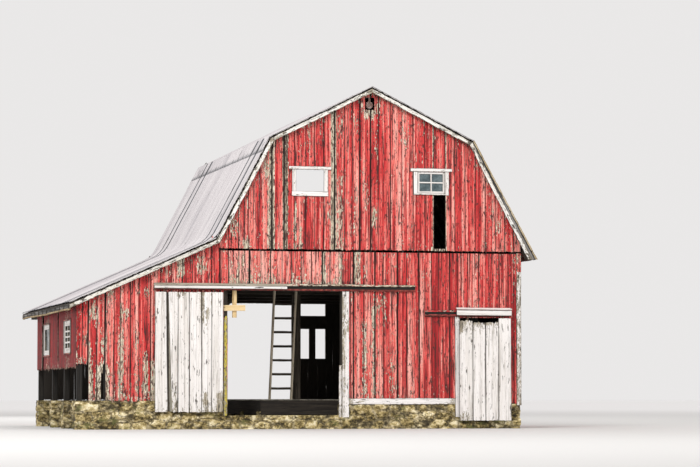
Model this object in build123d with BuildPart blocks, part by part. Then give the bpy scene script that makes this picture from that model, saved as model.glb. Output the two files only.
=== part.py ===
from build123d import *
from math import atan2, cos, hypot, sin
import os

# A weathered gambrel barn with a lean-to along its left side, in millimetres.
# Places are measured from the ridge (x), from the front wall's outer face (y, towards the rear)
# and from the lowest ground (z).

# Driving dimensions of the whole building
barn_depth = 8400
main_half_width = 3460
leanto_half_width = 6600
belt_lap = 46
rake_overhang = 150
wall_thickness = 30

# Roof surface, from the bend between main roof and lean-to
junction_height = 4190
junction_reach = 95
steep_rise = 2270
knee_half = 2350
upper_rise = 1170
right_drop = 2660
eave_overhang = 365
leanto_drop = 1420
leanto_overhang = 165
deck_thickness = 40
valley_radius = 600
valley_run = 700

# Stonework
foundation_thickness = 380
foundation_height = 550
leanto_foundation_height = 620
threshold_height = 300
small_threshold_height = 230
pier_size = 420
leanto_pier_width = 260

# Timber frame
post_size = 180
beam_depth = 200
rafter_width = 50
rafter_depth = 140
rafter_count = 12
bent_count = 5
aisle_post_x = -1235
ridge_board_thickness = 40
plate_height = 180
birdsmouth = 60
joist_width = 60
joist_depth = 150
joist_first = -2675
joist_pitch = 680
joist_count = 9
plank_thickness = 28
board_gap = 3
brace_reach = 700
brace_cut = 140
brace_thickness = 80
leanto_post_size = 120
leanto_rafter_depth = 110
leanto_plate_height = 120
leanto_birdsmouth = 30

# Big doorway and its sliding door
doorway_width = 2580
doorway_top = 3050
door_reach = 1634
door_width = 1525
door_bottom = 380
door_head_gap = 50
door_thickness = 40
door_stand_off = 55

# Small doorway and its sliding door
small_doorway_margin = 300
small_doorway_width = 1110
small_doorway_top = 2480
small_door_lap = 36
small_door_width = 1212
small_door_bottom = 180
small_door_head_gap = 10

# Door tracks: a board on the wall, a steel rail stood off from it, a cover board in front
track_board_height = 150
rail_height = 30
rail_thickness = 6
rail_lift = 10
wheel_radius = 30
wheel_thickness = 12
axle_radius = 8
axle_washer = 4
bracket_count = 7
strap_width = 40
strap_thickness = 6
strap_lap = 160
hanger_inset = 200
cover_thickness = 20
cover_rise = 95
cap_rise = 40
cap_thickness = 15
door_clearance = 5
ledge_width = 140
ledge_thickness = 20
ledge_inset = 250
track_margin = 16
track_overrun = 1680
cover_reach = 1310
small_track_reach = 782
small_track_lift = 20
small_cover_reach = 100
running_gap = 0.3

# Raised floor in the right bay and the hatch in the loft floor
floor_top = 645
floor_left = -2200
floor_front = 1500
riser_bottom = 300
floor_beam_places = (floor_left, -400, 1400)
hatch_joist = 1
hatch_front = 1300

# Ladder and new timber in the big doorway
ladder_left = -1926
ladder_width = 546
ladder_height = 3100
ladder_lean = 650
ladder_rail_width = 45
ladder_rail_depth = 90
rung_radius = 18
rung_first = 257
rung_pitch = 317
rung_count = 9
new_timber_thickness = 38
new_brace_inset = 110
new_brace_drop = 600
left_casing_drop = 600
new_bar_reach = 393
new_bar_drop = 450
new_bar_height = 127

# Openings in the front gable
left_window_left = -1723
right_window_left = 1064
gable_window_width = 632
gable_window_rise = 1290
gable_window_height = 480
slot_left = 1444
slot_right = 1706
peak_hole_left = -149
peak_hole_right = 72
peak_hole_drop = 240
peak_hole_height = 280

# Pulley of the hay rope, hung from the ridge board behind the hole in the peak
pulley_radius = 80
pulley_thickness = 30
pulley_drop = 390
pulley_set_back = 120
pulley_cheek_gap = 4

# Openings in the other walls
rear_doorway_left = -2500
rear_doorway_right = 0
rear_window_left = 200
rear_window_right = 880
rear_window_bottom = 1667
rear_window_top = 2414
rear_mullion = 147
transom_bottom = 2746
transom_top = 3045
hay_door_half = 900
hay_door_rise = 725
hay_door_drop = 1130
side_window_drop = 380
side_window_height = 710
side_window_width = 1050
side_wall_skirt = 320
near_side_window_y = 790
far_side_window_y = 4420
missing_board_y = 5560
missing_board_width = 400
side_wall_end = 6850
missing_corner_width = 270
missing_corner_top = 1420
open_rear_corner = 220
leanto_post_skip = 3

# Trim
trim_thickness = 25
trim_width = 95
casing_width = 167
stop_board_width = 77
stop_board_top = 1410
small_casing_width = 117
rake_board_depth = 95
fascia_drop = 200
sill_board_bottom = 533
sill_board_top = 679
casing_bottom = 258
corner_trim_width = 90
corner_trim_bottom = 520
head_reach = 165
head_height = 75
window_sill_height = 113
side_trim_width = 70
stile_width = 45
bar_width = 25
sash_thickness = 24
glass_thickness = 4

# Places that follow from these, in the width
junction_half = main_half_width + junction_reach
leanto_eave_half = leanto_half_width + leanto_overhang
right_eave_half = main_half_width + eave_overhang
doorway_left = wall_thickness + post_size - main_half_width
doorway_right = doorway_left + doorway_width
door_left = doorway_left - door_reach
small_doorway_left = main_half_width - small_doorway_margin - small_doorway_width
small_door_left = small_doorway_left - small_door_lap
small_casing_left = small_doorway_left - small_casing_width
left_window_right = left_window_left + gable_window_width
right_window_right = right_window_left + gable_window_width
missing_corner_right = missing_corner_width - leanto_half_width
rear_corner_x = open_rear_corner - leanto_half_width
ridge_x = (leanto_eave_half - right_eave_half) / 2
front_y = -barn_depth / 2

# Heights that follow from these
knee_height = junction_height + steep_rise
ridge_height = knee_height + upper_rise
right_eave_height = knee_height - right_drop
leanto_eave_height = junction_height - leanto_drop
door_height = doorway_top - door_head_gap - door_bottom
small_door_height = small_doorway_top - small_door_head_gap - small_door_bottom
small_track_bottom = small_doorway_top + small_track_lift
left_casing_top = doorway_top - left_casing_drop
peak_hole_top = ridge_height - peak_hole_drop
peak_hole_bottom = peak_hole_top - peak_hole_height
side_window_top = leanto_eave_height - side_window_drop
side_window_bottom = side_window_top - side_window_height
side_wall_bottom = side_window_bottom - side_wall_skirt

os.makedirs("parts", exist_ok=True)


def facade(y):
    """The upright plane at depth y: x from the ridge, y upwards, facing the front."""
    return Plane(origin=(ridge_x, front_y + y, 0), x_dir=(1, 0, 0), z_dir=(0, -1, 0))


def plan(z):
    """The level plane at height z: x from the ridge, y from the front wall."""
    return Plane(origin=(ridge_x, front_y, z), x_dir=(1, 0, 0), z_dir=(0, 0, 1))


def block(x, y, z, mode=Mode.ADD):
    """A squared timber or stone between two limits along each axis."""
    with BuildSketch(plan(z[0])) as outline:
        with Locations(((x[0] + x[1]) / 2, (y[0] + y[1]) / 2)):
            Rectangle(x[1] - x[0], y[1] - y[0])
    extrude(outline.sketch, amount=z[1] - z[0], mode=mode)


def slab(points, y, mode=Mode.ADD):
    """An outline in the plane of the front wall, carried from one depth to another."""
    with BuildSketch(facade(y[0])) as outline:
        with BuildLine():
            Polyline(*points, close=True)
        make_face()
    extrude(outline.sketch, amount=y[0] - y[1], mode=mode)


def save(built, label):
    """Names a finished piece and writes it."""
    built.part.label = label
    export_step(built.part, f"parts/{label}.step")


def spaced(first, last, count):
    """Evenly spaced places from the first to the last."""
    return [first + (last - first) * i / (count - 1) for i in range(count)]


# The roof's profile, from the lean-to's eave over the ridge to the right eave.
roof_points = [
    Vector(-leanto_eave_half, leanto_eave_height),
    Vector(-junction_half, junction_height),
    Vector(-knee_half, knee_height),
    Vector(0, ridge_height),
    Vector(knee_half, knee_height),
    Vector(right_eave_half, right_eave_height),
]


def pitch(i):
    """The slope angle of the roof's i-th stretch, counted from the lean-to's eave."""
    run = roof_points[i + 1] - roof_points[i]
    return atan2(abs(run.Y), run.X)


def below(depth):
    """The roof's profile at a depth square below its surface, mitred, with a level cut at the right eave."""
    inner = [roof_points[0] - Vector(0, depth / cos(pitch(0)))]
    for i in range(1, 5):
        before = (roof_points[i] - roof_points[i - 1]).normalized()
        after = (roof_points[i + 1] - roof_points[i]).normalized()
        normals = Vector(before.Y, -before.X) + Vector(after.Y, -after.X)
        inner.append(roof_points[i] + normals * (depth / (1 + before.dot(after))))
    inner.append(roof_points[5] - Vector(depth / sin(pitch(4)), 0))
    return inner


def height_below(i, x, depth):
    """The height at x on the line of the roof's i-th stretch, at a depth square below its surface."""
    run = roof_points[i + 1] - roof_points[i]
    return roof_points[i].Y + (x - roof_points[i].X) * run.Y / run.X - depth / cos(pitch(i))


def point_below(i, x, depth):
    """The point at x on the line of the roof's i-th stretch, at a depth below its surface."""
    return (x, height_below(i, x, depth))


surface = [(p.X, p.Y) for p in roof_points]
deck_under = [(p.X, p.Y) for p in below(deck_thickness)]
rafter_under = [(p.X, p.Y) for p in below(deck_thickness + rafter_depth)]
front_wall = (0, wall_thickness)
gable_skin = (-wall_thickness, 0)
rear_wall = (barn_depth - wall_thickness, barn_depth)
rear_gable_skin = (barn_depth, barn_depth + wall_thickness)
roof_span = (-rake_overhang, barn_depth + rake_overhang)
plate_outer = main_half_width - wall_thickness
right_plate_top = height_below(4, plate_outer, deck_thickness + rafter_depth) + birdsmouth
left_plate_top = height_below(1, -plate_outer, deck_thickness + rafter_depth) + birdsmouth
lower_wall_top = right_plate_top - plate_height
belt_height = lower_wall_top - belt_lap
gable_window_bottom = belt_height + gable_window_rise
gable_window_top = gable_window_bottom + gable_window_height
hay_door_bottom = belt_height + hay_door_rise
hay_door_top = ridge_height - hay_door_drop
gable_left = -main_half_width + 20

# Stonework
front_masonry = (0, foundation_thickness)
rear_masonry = (barn_depth - foundation_thickness, barn_depth)

with BuildPart() as front_foundation:
    block((missing_corner_right, doorway_left), front_masonry, (0, leanto_foundation_height))
    block((doorway_left, doorway_right), front_masonry, (0, threshold_height))
    block((doorway_right, main_half_width), front_masonry, (0, foundation_height))
    block(
        (small_doorway_left, small_doorway_left + small_doorway_width),
        front_masonry,
        (small_threshold_height, foundation_height),
        mode=Mode.SUBTRACT,
    )
save(front_foundation, "front_foundation")

with BuildPart() as right_foundation:
    block(
        (main_half_width - foundation_thickness, main_half_width),
        (foundation_thickness, barn_depth - foundation_thickness),
        (0, foundation_height),
    )
save(right_foundation, "right_foundation")

with BuildPart() as rear_foundation:
    block((rear_corner_x, rear_doorway_left), rear_masonry, (0, leanto_foundation_height))
    block((rear_doorway_left, rear_doorway_right), rear_masonry, (0, threshold_height))
    block((rear_doorway_right, main_half_width), rear_masonry, (0, foundation_height))
save(rear_foundation, "rear_foundation")

# Front walls
with BuildPart() as leanto_front_wall:
    slab(
        [
            (missing_corner_right, leanto_foundation_height),
            (doorway_left, leanto_foundation_height),
            (doorway_left, lower_wall_top),
            (gable_left, lower_wall_top),
            point_below(0, gable_left, deck_thickness),
            point_below(0, -leanto_half_width, deck_thickness),
            (-leanto_half_width, missing_corner_top),
            (missing_corner_right, missing_corner_top),
        ],
        front_wall,
    )
    block(
        (doorway_left - trim_width, doorway_left),
        front_wall,
        (left_casing_top, doorway_top),
        mode=Mode.SUBTRACT,
    )
save(leanto_front_wall, "leanto_front_wall")

with BuildPart() as walls_over_doors:
    block((doorway_left, doorway_right), front_wall, (doorway_top, lower_wall_top))
    block((small_doorway_left, main_half_width), front_wall, (small_doorway_top, lower_wall_top))
save(walls_over_doors, "walls_over_doors")

with BuildPart() as front_right_wall:
    block((doorway_right, small_doorway_left), front_wall, (foundation_height, lower_wall_top))
save(front_right_wall, "front_right_wall")

with BuildPart() as front_corner_wall:
    block(
        (small_doorway_left + small_doorway_width, main_half_width),
        front_wall,
        (foundation_height, small_doorway_top),
    )
save(front_corner_wall, "front_corner_wall")

gable_outline = [
    (gable_left, belt_height),
    (main_half_width, belt_height),
    point_below(4, main_half_width, deck_thickness),
    deck_under[4],
    deck_under[3],
    deck_under[2],
    point_below(1, gable_left, deck_thickness),
]

with BuildPart() as front_gable_wall:
    slab(gable_outline, gable_skin)
    block(
        (left_window_left, left_window_right),
        gable_skin,
        (gable_window_bottom, gable_window_top),
        mode=Mode.SUBTRACT,
    )
    block(
        (right_window_left, right_window_right),
        gable_skin,
        (gable_window_bottom, gable_window_top),
        mode=Mode.SUBTRACT,
    )
    block(
        (slot_left, slot_right),
        gable_skin,
        (belt_height + belt_lap, gable_window_bottom),
        mode=Mode.SUBTRACT,
    )
    block(
        (peak_hole_left, peak_hole_right), gable_skin, (peak_hole_bottom, peak_hole_top), mode=Mode.SUBTRACT
    )
save(front_gable_wall, "front_gable_wall")

# Side walls
side_wall_run = (wall_thickness, barn_depth - wall_thickness)
right_wall_top = height_below(4, main_half_width, deck_thickness + rafter_depth)

with BuildPart() as right_wall:
    block(
        (main_half_width - wall_thickness, main_half_width),
        side_wall_run,
        (foundation_height, right_wall_top),
    )
save(right_wall, "right_wall")

leanto_wall_top = height_below(0, -leanto_half_width, deck_thickness + leanto_rafter_depth)

with BuildPart() as leanto_side_wall:
    leanto_side_skin = (-leanto_half_width, -leanto_half_width + wall_thickness)
    side_wall_rise = (side_wall_bottom, leanto_wall_top)
    block(leanto_side_skin, (wall_thickness, missing_board_y), side_wall_rise)
    block(leanto_side_skin, (missing_board_y + missing_board_width, side_wall_end), side_wall_rise)
    for window_y in (near_side_window_y, far_side_window_y):
        block(
            leanto_side_skin,
            (window_y, window_y + side_window_width),
            (side_window_bottom, side_window_top),
            mode=Mode.SUBTRACT,
        )
save(leanto_side_wall, "leanto_side_wall")

# Rear walls
with BuildPart() as rear_left_wall:
    slab(
        [
            (rear_corner_x, leanto_foundation_height),
            (rear_doorway_left, leanto_foundation_height),
            (rear_doorway_left, lower_wall_top),
            (gable_left, lower_wall_top),
            point_below(0, gable_left, deck_thickness),
            point_below(0, rear_corner_x, deck_thickness),
        ],
        rear_wall,
    )
save(rear_left_wall, "rear_left_wall")

with BuildPart() as rear_wall_over_doorway:
    block((rear_doorway_left, rear_doorway_right), rear_wall, (doorway_top, lower_wall_top))
save(rear_wall_over_doorway, "rear_wall_over_doorway")

rear_light_width = (rear_window_right - rear_window_left - rear_mullion) / 2

with BuildPart() as rear_right_wall:
    block((rear_doorway_right, main_half_width), rear_wall, (foundation_height, lower_wall_top))
    block(
        (rear_window_left, rear_window_left + rear_light_width),
        rear_wall,
        (rear_window_bottom, rear_window_top),
        mode=Mode.SUBTRACT,
    )
    block(
        (rear_window_right - rear_light_width, rear_window_right),
        rear_wall,
        (rear_window_bottom, rear_window_top),
        mode=Mode.SUBTRACT,
    )
    block(
        (rear_window_left, rear_window_right),
        rear_wall,
        (transom_bottom, transom_top),
        mode=Mode.SUBTRACT,
    )
save(rear_right_wall, "rear_right_wall")

with BuildPart() as rear_gable_wall:
    slab(gable_outline, rear_gable_skin)
    block(
        (-hay_door_half, hay_door_half),
        rear_gable_skin,
        (hay_door_bottom, hay_door_top),
        mode=Mode.SUBTRACT,
    )
save(rear_gable_wall, "rear_gable_wall")

# Roof
with BuildPart() as upper_roof_left:
    slab([surface[2], surface[3], deck_under[3], deck_under[2]], roof_span)
save(upper_roof_left, "upper_roof_left")

with BuildPart() as upper_roof_right:
    slab([surface[3], surface[4], deck_under[4], deck_under[3]], roof_span)
save(upper_roof_right, "upper_roof_right")

with BuildPart() as steep_roof_right:
    slab([surface[4], surface[5], deck_under[5], deck_under[4]], roof_span)
save(steep_roof_right, "steep_roof_right")

# On the left the steep sheets bend outwards in a curve and run on over the lean-to.
valley_share = valley_run / hypot(junction_half - leanto_eave_half, junction_height - leanto_eave_height)
seam_top = roof_points[1] + (roof_points[0] - roof_points[1]) * valley_share
seam_under = seam_top - Vector(0, deck_thickness / cos(pitch(0)))

with BuildPart() as steep_roof_left:
    with BuildSketch(facade(-rake_overhang)) as flared_profile:
        with BuildLine():
            Polyline(
                surface[2],
                surface[1],
                (seam_top.X, seam_top.Y),
                (seam_under.X, seam_under.Y),
                deck_under[1],
                deck_under[2],
                close=True,
            )
        make_face()
        fillet(flared_profile.vertices().sort_by_distance(surface[1])[0], valley_radius)
        fillet(flared_profile.vertices().sort_by_distance(deck_under[1])[0], valley_radius + deck_thickness)
    extrude(amount=-(roof_span[1] - roof_span[0]))
save(steep_roof_left, "steep_roof_left")

with BuildPart() as leanto_roof:
    slab([surface[0], (seam_top.X, seam_top.Y), (seam_under.X, seam_under.Y), deck_under[0]], roof_span)
save(leanto_roof, "leanto_roof")

# Timber frame
post_line = main_half_width - wall_thickness - post_size / 2
bents = spaced(wall_thickness + post_size / 2, barn_depth - wall_thickness - post_size / 2, bent_count)
inner_bents = bents[1:-1]
tie_top = doorway_top + beam_depth


def span(centre, width):
    """The two limits of something this wide about its centre."""
    return (centre - width / 2, centre + width / 2)


with BuildPart() as main_posts:
    for y in bents:
        post_y = span(y, post_size)
        block(span(post_line, post_size), post_y, (foundation_height, right_plate_top - plate_height))
        block(
            span(-post_line, post_size),
            post_y,
            (leanto_foundation_height, left_plate_top - plate_height),
        )
    block(span(aisle_post_x, post_size), span(inner_bents[0], post_size), (floor_top, doorway_top))
    for x in (doorway_right, small_doorway_left - post_size):
        block((x, x + post_size), span(bents[0], post_size), (foundation_height, doorway_top))
save(main_posts, "main_posts")


def knee_brace(x, side, y):
    """A slanting brace from a post's face up to the beam over it."""
    slab(
        [
            (x, doorway_top - brace_reach),
            (x + side * brace_reach, doorway_top),
            (x + side * (brace_reach - brace_cut), doorway_top),
            (x, doorway_top - brace_reach + brace_cut),
        ],
        span(y, brace_thickness),
    )


with BuildPart() as knee_braces:
    for y in inner_bents:
        knee_brace(post_size / 2 - post_line, 1, y)
        knee_brace(post_line - post_size / 2, -1, y)
save(knee_braces, "knee_braces")

with BuildPart() as tie_beams:
    for y in bents:
        block(
            (post_size / 2 - post_line, post_line - post_size / 2),
            span(y, post_size),
            (doorway_top, tie_top),
        )
save(tie_beams, "tie_beams")

joist_places = [joist_first + joist_pitch * i for i in range(joist_count)]
joist_top = tie_top + joist_depth
hatch_x = (joist_places[hatch_joist] + joist_width / 2, joist_places[hatch_joist + 1] - joist_width / 2)
hatch_y = (hatch_front, bents[1] - post_size / 2)

with BuildPart() as loft_joists:
    for x in joist_places:
        block(span(x, joist_width), side_wall_run, (tie_top, joist_top))
    block(
        (hatch_x[0] + running_gap, hatch_x[1] - running_gap),
        (hatch_front - joist_width, hatch_front),
        (tie_top, joist_top),
    )
save(loft_joists, "loft_joists")

loft_floor_x = (post_size / 2 - post_line, post_line - post_size / 2)
loft_floor_z = (joist_top, joist_top + plank_thickness)

with BuildPart() as loft_floor:
    block(loft_floor_x, (side_wall_run[0], hatch_y[0]), loft_floor_z)
    block((loft_floor_x[0], hatch_x[0]), (hatch_y[0] + board_gap, hatch_y[1] - board_gap), loft_floor_z)
    block((hatch_x[1], loft_floor_x[1]), (hatch_y[0] + board_gap, hatch_y[1] - board_gap), loft_floor_z)
    block(loft_floor_x, (hatch_y[1], side_wall_run[1]), loft_floor_z)
save(loft_floor, "loft_floor")

# Rafters: each pair meets at a ridge board, is mitred at the knee and notched over the plates.
ridge_side = ridge_board_thickness / 2
rafter_span = (wall_thickness + rafter_width, barn_depth - wall_thickness - rafter_width)
rafter_places = spaced(rafter_span[0], rafter_span[1], rafter_count)

with BuildPart() as ridge_board:
    ridge_board_bottom = height_below(3, ridge_side, deck_thickness + rafter_depth)
    block(
        (-ridge_side, ridge_side),
        side_wall_run,
        (ridge_board_bottom, height_below(3, ridge_side, deck_thickness)),
    )
save(ridge_board, "ridge_board")

with BuildPart() as upper_rafters:
    for y in rafter_places:
        for side, stretch, knee in ((-1, 2, 2), (1, 3, 4)):
            slab(
                [
                    point_below(stretch, side * ridge_side, deck_thickness),
                    deck_under[knee],
                    rafter_under[knee],
                    point_below(stretch, side * ridge_side, deck_thickness + rafter_depth),
                ],
                span(y, rafter_width),
            )
save(upper_rafters, "upper_rafters")

with BuildPart() as steep_rafters:
    for y in rafter_places:
        slab([deck_under[4], deck_under[5], rafter_under[5], rafter_under[4]], span(y, rafter_width))
        block(
            (plate_outer - post_size, plate_outer),
            span(y, post_size),
            (right_plate_top - plate_height, right_plate_top),
            mode=Mode.SUBTRACT,
        )
        slab(
            [
                deck_under[2],
                point_below(1, -plate_outer, deck_thickness),
                point_below(1, -plate_outer, deck_thickness + rafter_depth),
                rafter_under[2],
            ],
            span(y, rafter_width),
        )
        block(
            (-plate_outer, post_size - plate_outer),
            span(y, post_size),
            (left_plate_top - plate_height, left_plate_top),
            mode=Mode.SUBTRACT,
        )
save(steep_rafters, "steep_rafters")

# Lean-to frame
leanto_inner = -leanto_half_width + wall_thickness
leanto_plate_x = (leanto_inner, leanto_inner + leanto_post_size)
leanto_plate_top = height_below(0, leanto_inner, deck_thickness + leanto_rafter_depth) + leanto_birdsmouth
leanto_bents = spaced(
    wall_thickness + leanto_post_size / 2, barn_depth - wall_thickness - leanto_post_size / 2, bent_count
)
leanto_post_places = [*leanto_bents[:leanto_post_skip], side_wall_end - leanto_post_size / 2]
fascia_inner = -leanto_eave_half + trim_thickness


with BuildPart() as leanto_rafters:
    for y in rafter_places:
        slab(
            [
                point_below(0, fascia_inner, deck_thickness),
                point_below(0, -plate_outer - running_gap, deck_thickness),
                point_below(0, -plate_outer - running_gap, deck_thickness + leanto_rafter_depth),
                point_below(0, fascia_inner, deck_thickness + leanto_rafter_depth),
            ],
            span(y, rafter_width),
        )
        block(
            leanto_plate_x,
            span(y, post_size),
            (leanto_plate_top - leanto_plate_height, leanto_plate_top),
            mode=Mode.SUBTRACT,
        )
save(leanto_rafters, "leanto_rafters")

with BuildPart() as wall_plates:
    block(
        (plate_outer - post_size, plate_outer),
        side_wall_run,
        (right_plate_top - plate_height, right_plate_top),
    )
    block(
        (-plate_outer, post_size - plate_outer),
        side_wall_run,
        (left_plate_top - plate_height, left_plate_top),
    )
    block(leanto_plate_x, side_wall_run, (leanto_plate_top - leanto_plate_height, leanto_plate_top))
save(wall_plates, "wall_plates")

with BuildPart() as leanto_posts:
    for y in leanto_post_places:
        block(
            leanto_plate_x,
            span(y, leanto_post_size),
            (leanto_foundation_height, leanto_plate_top - leanto_plate_height),
        )
save(leanto_posts, "leanto_posts")

# Raised plank floor
floor_under = floor_top - plank_thickness

with BuildPart() as plank_floor:
    block(
        (floor_left, post_line - post_size / 2),
        (floor_front, barn_depth - wall_thickness),
        (floor_under, floor_top),
    )
save(plank_floor, "plank_floor")

with BuildPart() as floor_riser:
    block(
        (floor_left, main_half_width - foundation_thickness),
        (floor_front - trim_thickness, floor_front),
        (riser_bottom, floor_top),
    )
save(floor_riser, "floor_riser")

with BuildPart() as floor_beams:
    for x in floor_beam_places:
        block(
            (x, x + post_size),
            (floor_front, barn_depth - foundation_thickness),
            (floor_under - beam_depth, floor_under),
        )
    block(
        (main_half_width - foundation_thickness, post_line - post_size / 2),
        (floor_front, barn_depth - foundation_thickness),
        (foundation_height, floor_under),
    )
save(floor_beams, "floor_beams")

# Stone piers under the posts that no wall carries and under the floor's beams
with BuildPart() as stone_piers:
    for y in inner_bents:
        block(span(-post_line, pier_size), span(y, pier_size), (0, leanto_foundation_height))
    for y in leanto_post_places:
        block(
            (-leanto_half_width, -leanto_half_width + leanto_pier_width),
            span(max(y, pier_size / 2), pier_size),
            (0, leanto_foundation_height),
        )
    for x in floor_beam_places:
        for y in spaced(floor_front + pier_size / 2, barn_depth - foundation_thickness - pier_size, 4):
            block((x, x + post_size), span(y, pier_size), (0, floor_under - beam_depth))
save(stone_piers, "stone_piers")

# Ladder, standing on the floor and leaning forward against the front edge of the hatch
lean_per_height = ladder_lean / ladder_height
ladder_front = hatch_front + running_gap + (joist_top + plank_thickness - floor_top) * lean_per_height

with BuildPart() as ladder:
    for x in (ladder_left, ladder_left + ladder_width - ladder_rail_width):
        with BuildSketch(Plane(origin=(ridge_x + x, front_y, floor_top), x_dir=(0, 1, 0), z_dir=(1, 0, 0))):
            with BuildLine():
                Polyline(
                    (ladder_front, 0),
                    (ladder_front + ladder_rail_depth, 0),
                    (ladder_front + ladder_rail_depth - ladder_lean, ladder_height),
                    (ladder_front - ladder_lean, ladder_height),
                    close=True,
                )
            make_face()
        extrude(amount=ladder_rail_width)
    rung_plane = Plane(
        origin=(ridge_x + ladder_left, front_y + ladder_front + ladder_rail_depth / 2, floor_top),
        x_dir=(0, 1, 0),
        z_dir=(1, 0, 0),
    )
    for i in range(rung_count):
        rung_height = rung_first + i * rung_pitch
        with BuildSketch(rung_plane):
            with Locations((-rung_height * lean_per_height, rung_height)):
                Circle(rung_radius)
        extrude(amount=ladder_width)
save(ladder, "ladder")

# New timber nailed up in the big doorway: a bar on the front of the left post and an upright behind it
with BuildPart() as new_brace:
    block(
        (doorway_left + new_brace_inset, doorway_left + new_brace_inset + trim_width),
        (wall_thickness, wall_thickness + new_timber_thickness),
        (doorway_top - new_brace_drop, doorway_top),
    )
    block(
        (doorway_left - trim_width, doorway_left + new_bar_reach),
        (wall_thickness - new_timber_thickness, wall_thickness),
        (doorway_top - new_bar_drop, doorway_top - new_bar_drop + new_bar_height),
    )
save(new_brace, "new_brace")

# Pulley in the peak: a wheel between two iron cheeks
pulley_height = ridge_height - pulley_drop
pulley_wheel_y = wall_thickness + pulley_set_back
pulley_y = (
    pulley_wheel_y - pulley_cheek_gap - strap_thickness,
    pulley_wheel_y + pulley_thickness + pulley_cheek_gap + strap_thickness,
)


def pulley_disc(y, radius):
    """A round disc about the pulley's axle."""
    pulley_face = Plane(origin=(ridge_x, front_y + y[0], pulley_height), x_dir=(1, 0, 0), z_dir=(0, 1, 0))
    with BuildSketch(pulley_face) as disc:
        Circle(radius)
    extrude(disc.sketch, amount=y[1] - y[0])


with BuildPart() as hay_pulley:
    pulley_disc(pulley_y, axle_radius)
    pulley_disc((pulley_wheel_y, pulley_wheel_y + pulley_thickness), pulley_radius)
    for y in (pulley_y[0], pulley_y[1] - strap_thickness):
        block(
            span(0, strap_width),
            (y, y + strap_thickness),
            (pulley_height - strap_width / 2, ridge_board_bottom),
        )
save(hay_pulley, "hay_pulley")

# Outside trim
rake_under = [(p.X, p.Y) for p in below(deck_thickness + rake_board_depth)]


def rake_boards(y):
    """The boards under the roof's edge, one to each slope, fused at their mitres."""
    for i in range(5):
        slab([deck_under[i], deck_under[i + 1], rake_under[i + 1], rake_under[i]], y)


with BuildPart() as rake_trim:
    rake_boards((-rake_overhang, -rake_overhang + trim_thickness))
    rake_boards((barn_depth + rake_overhang - trim_thickness, barn_depth + rake_overhang))
save(rake_trim, "rake_trim")

with BuildPart() as leanto_fascia:
    slab(
        [
            point_below(0, -leanto_eave_half, deck_thickness),
            point_below(0, fascia_inner, deck_thickness),
            (fascia_inner, leanto_eave_height - fascia_drop),
            (-leanto_eave_half, leanto_eave_height - fascia_drop),
        ],
        (-rake_overhang + trim_thickness, barn_depth + rake_overhang - trim_thickness),
    )
save(leanto_fascia, "leanto_fascia")

on_front_wall = (-trim_thickness, 0)

with BuildPart() as sill_board:
    block(
        (doorway_right + casing_width, small_casing_left),
        on_front_wall,
        (sill_board_bottom, sill_board_top),
    )
save(sill_board, "sill_board")

with BuildPart() as door_casings:
    block((doorway_right, doorway_right + casing_width), on_front_wall, (casing_bottom, doorway_top))
    block((doorway_right - stop_board_width, doorway_right), on_front_wall, (casing_bottom, stop_board_top))
    block((doorway_left - trim_width, doorway_left), on_front_wall, (threshold_height, left_casing_top))
    block((small_casing_left, small_doorway_left), on_front_wall, (casing_bottom, small_track_bottom))
save(door_casings, "door_casings")

corner_trim_top = height_below(4, main_half_width + trim_thickness, deck_thickness + rafter_depth)

with BuildPart() as corner_trim:
    block(
        (main_half_width - corner_trim_width, main_half_width + trim_thickness),
        on_front_wall,
        (corner_trim_bottom, belt_height),
    )
    block(
        (main_half_width, main_half_width + trim_thickness),
        (0, corner_trim_width),
        (corner_trim_bottom, corner_trim_top),
    )
save(corner_trim, "corner_trim")

# Gable windows
on_gable = (-wall_thickness - trim_thickness, -wall_thickness)

with BuildPart() as gable_window_frames:
    block(
        (left_window_left - head_reach, left_window_right + head_reach),
        on_gable,
        (gable_window_top, gable_window_top + head_height),
    )
    for x in (left_window_left - trim_width, left_window_right):
        block((x, x + trim_width), on_gable, (gable_window_bottom, gable_window_top))
    block(
        (left_window_left - trim_width, left_window_right + trim_width),
        on_gable,
        (gable_window_bottom - window_sill_height, gable_window_bottom),
    )
    block(
        (right_window_left - head_reach, right_window_right + head_reach),
        on_gable,
        (gable_window_top, gable_window_top + head_height),
    )
    for x in (right_window_left - trim_width, right_window_right):
        block((x, x + trim_width), on_gable, (gable_window_bottom, gable_window_top))
save(gable_window_frames, "gable_window_frames")


def sash(place, across, z, panes_across, panes_up):
    """A square sash: a frame of stiles and rails with glazing bars between the panes."""
    place(across, z, Mode.ADD)
    pane_width = (across[1] - across[0] - 2 * stile_width - (panes_across - 1) * bar_width) / panes_across
    pane_height = (z[1] - z[0] - 2 * stile_width - (panes_up - 1) * bar_width) / panes_up
    for i in range(panes_across):
        pane_left = across[0] + stile_width + i * (pane_width + bar_width)
        for j in range(panes_up):
            pane_bottom = z[0] + stile_width + j * (pane_height + bar_width)
            pane_z = (pane_bottom, pane_bottom + pane_height)
            place((pane_left, pane_left + pane_width), pane_z, Mode.SUBTRACT)


gable_sash_y = (-wall_thickness, -wall_thickness + sash_thickness)
side_sash_x = (-leanto_half_width, -leanto_half_width + trim_thickness - glass_thickness)


def in_gable(x, z, mode):
    """Wood of a sash in the front gable."""
    block(x, gable_sash_y, z, mode)


def in_side_wall(y, z, mode):
    """Wood of a sash in the lean-to's side wall."""
    block(side_sash_x, y, z, mode)


with BuildPart() as gable_sash:
    sash(in_gable, (right_window_left, right_window_right), (gable_window_bottom, gable_window_top), 2, 2)
save(gable_sash, "gable_sash")

with BuildPart() as side_sashes:
    for y in (near_side_window_y, far_side_window_y):
        sash(in_side_wall, (y, y + side_window_width), (side_window_bottom, side_window_top), 4, 3)
save(side_sashes, "side_sashes")

# Frames of the rear lights and of the lean-to's side windows
side_face = (-leanto_half_width - trim_thickness, -leanto_half_width)

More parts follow.
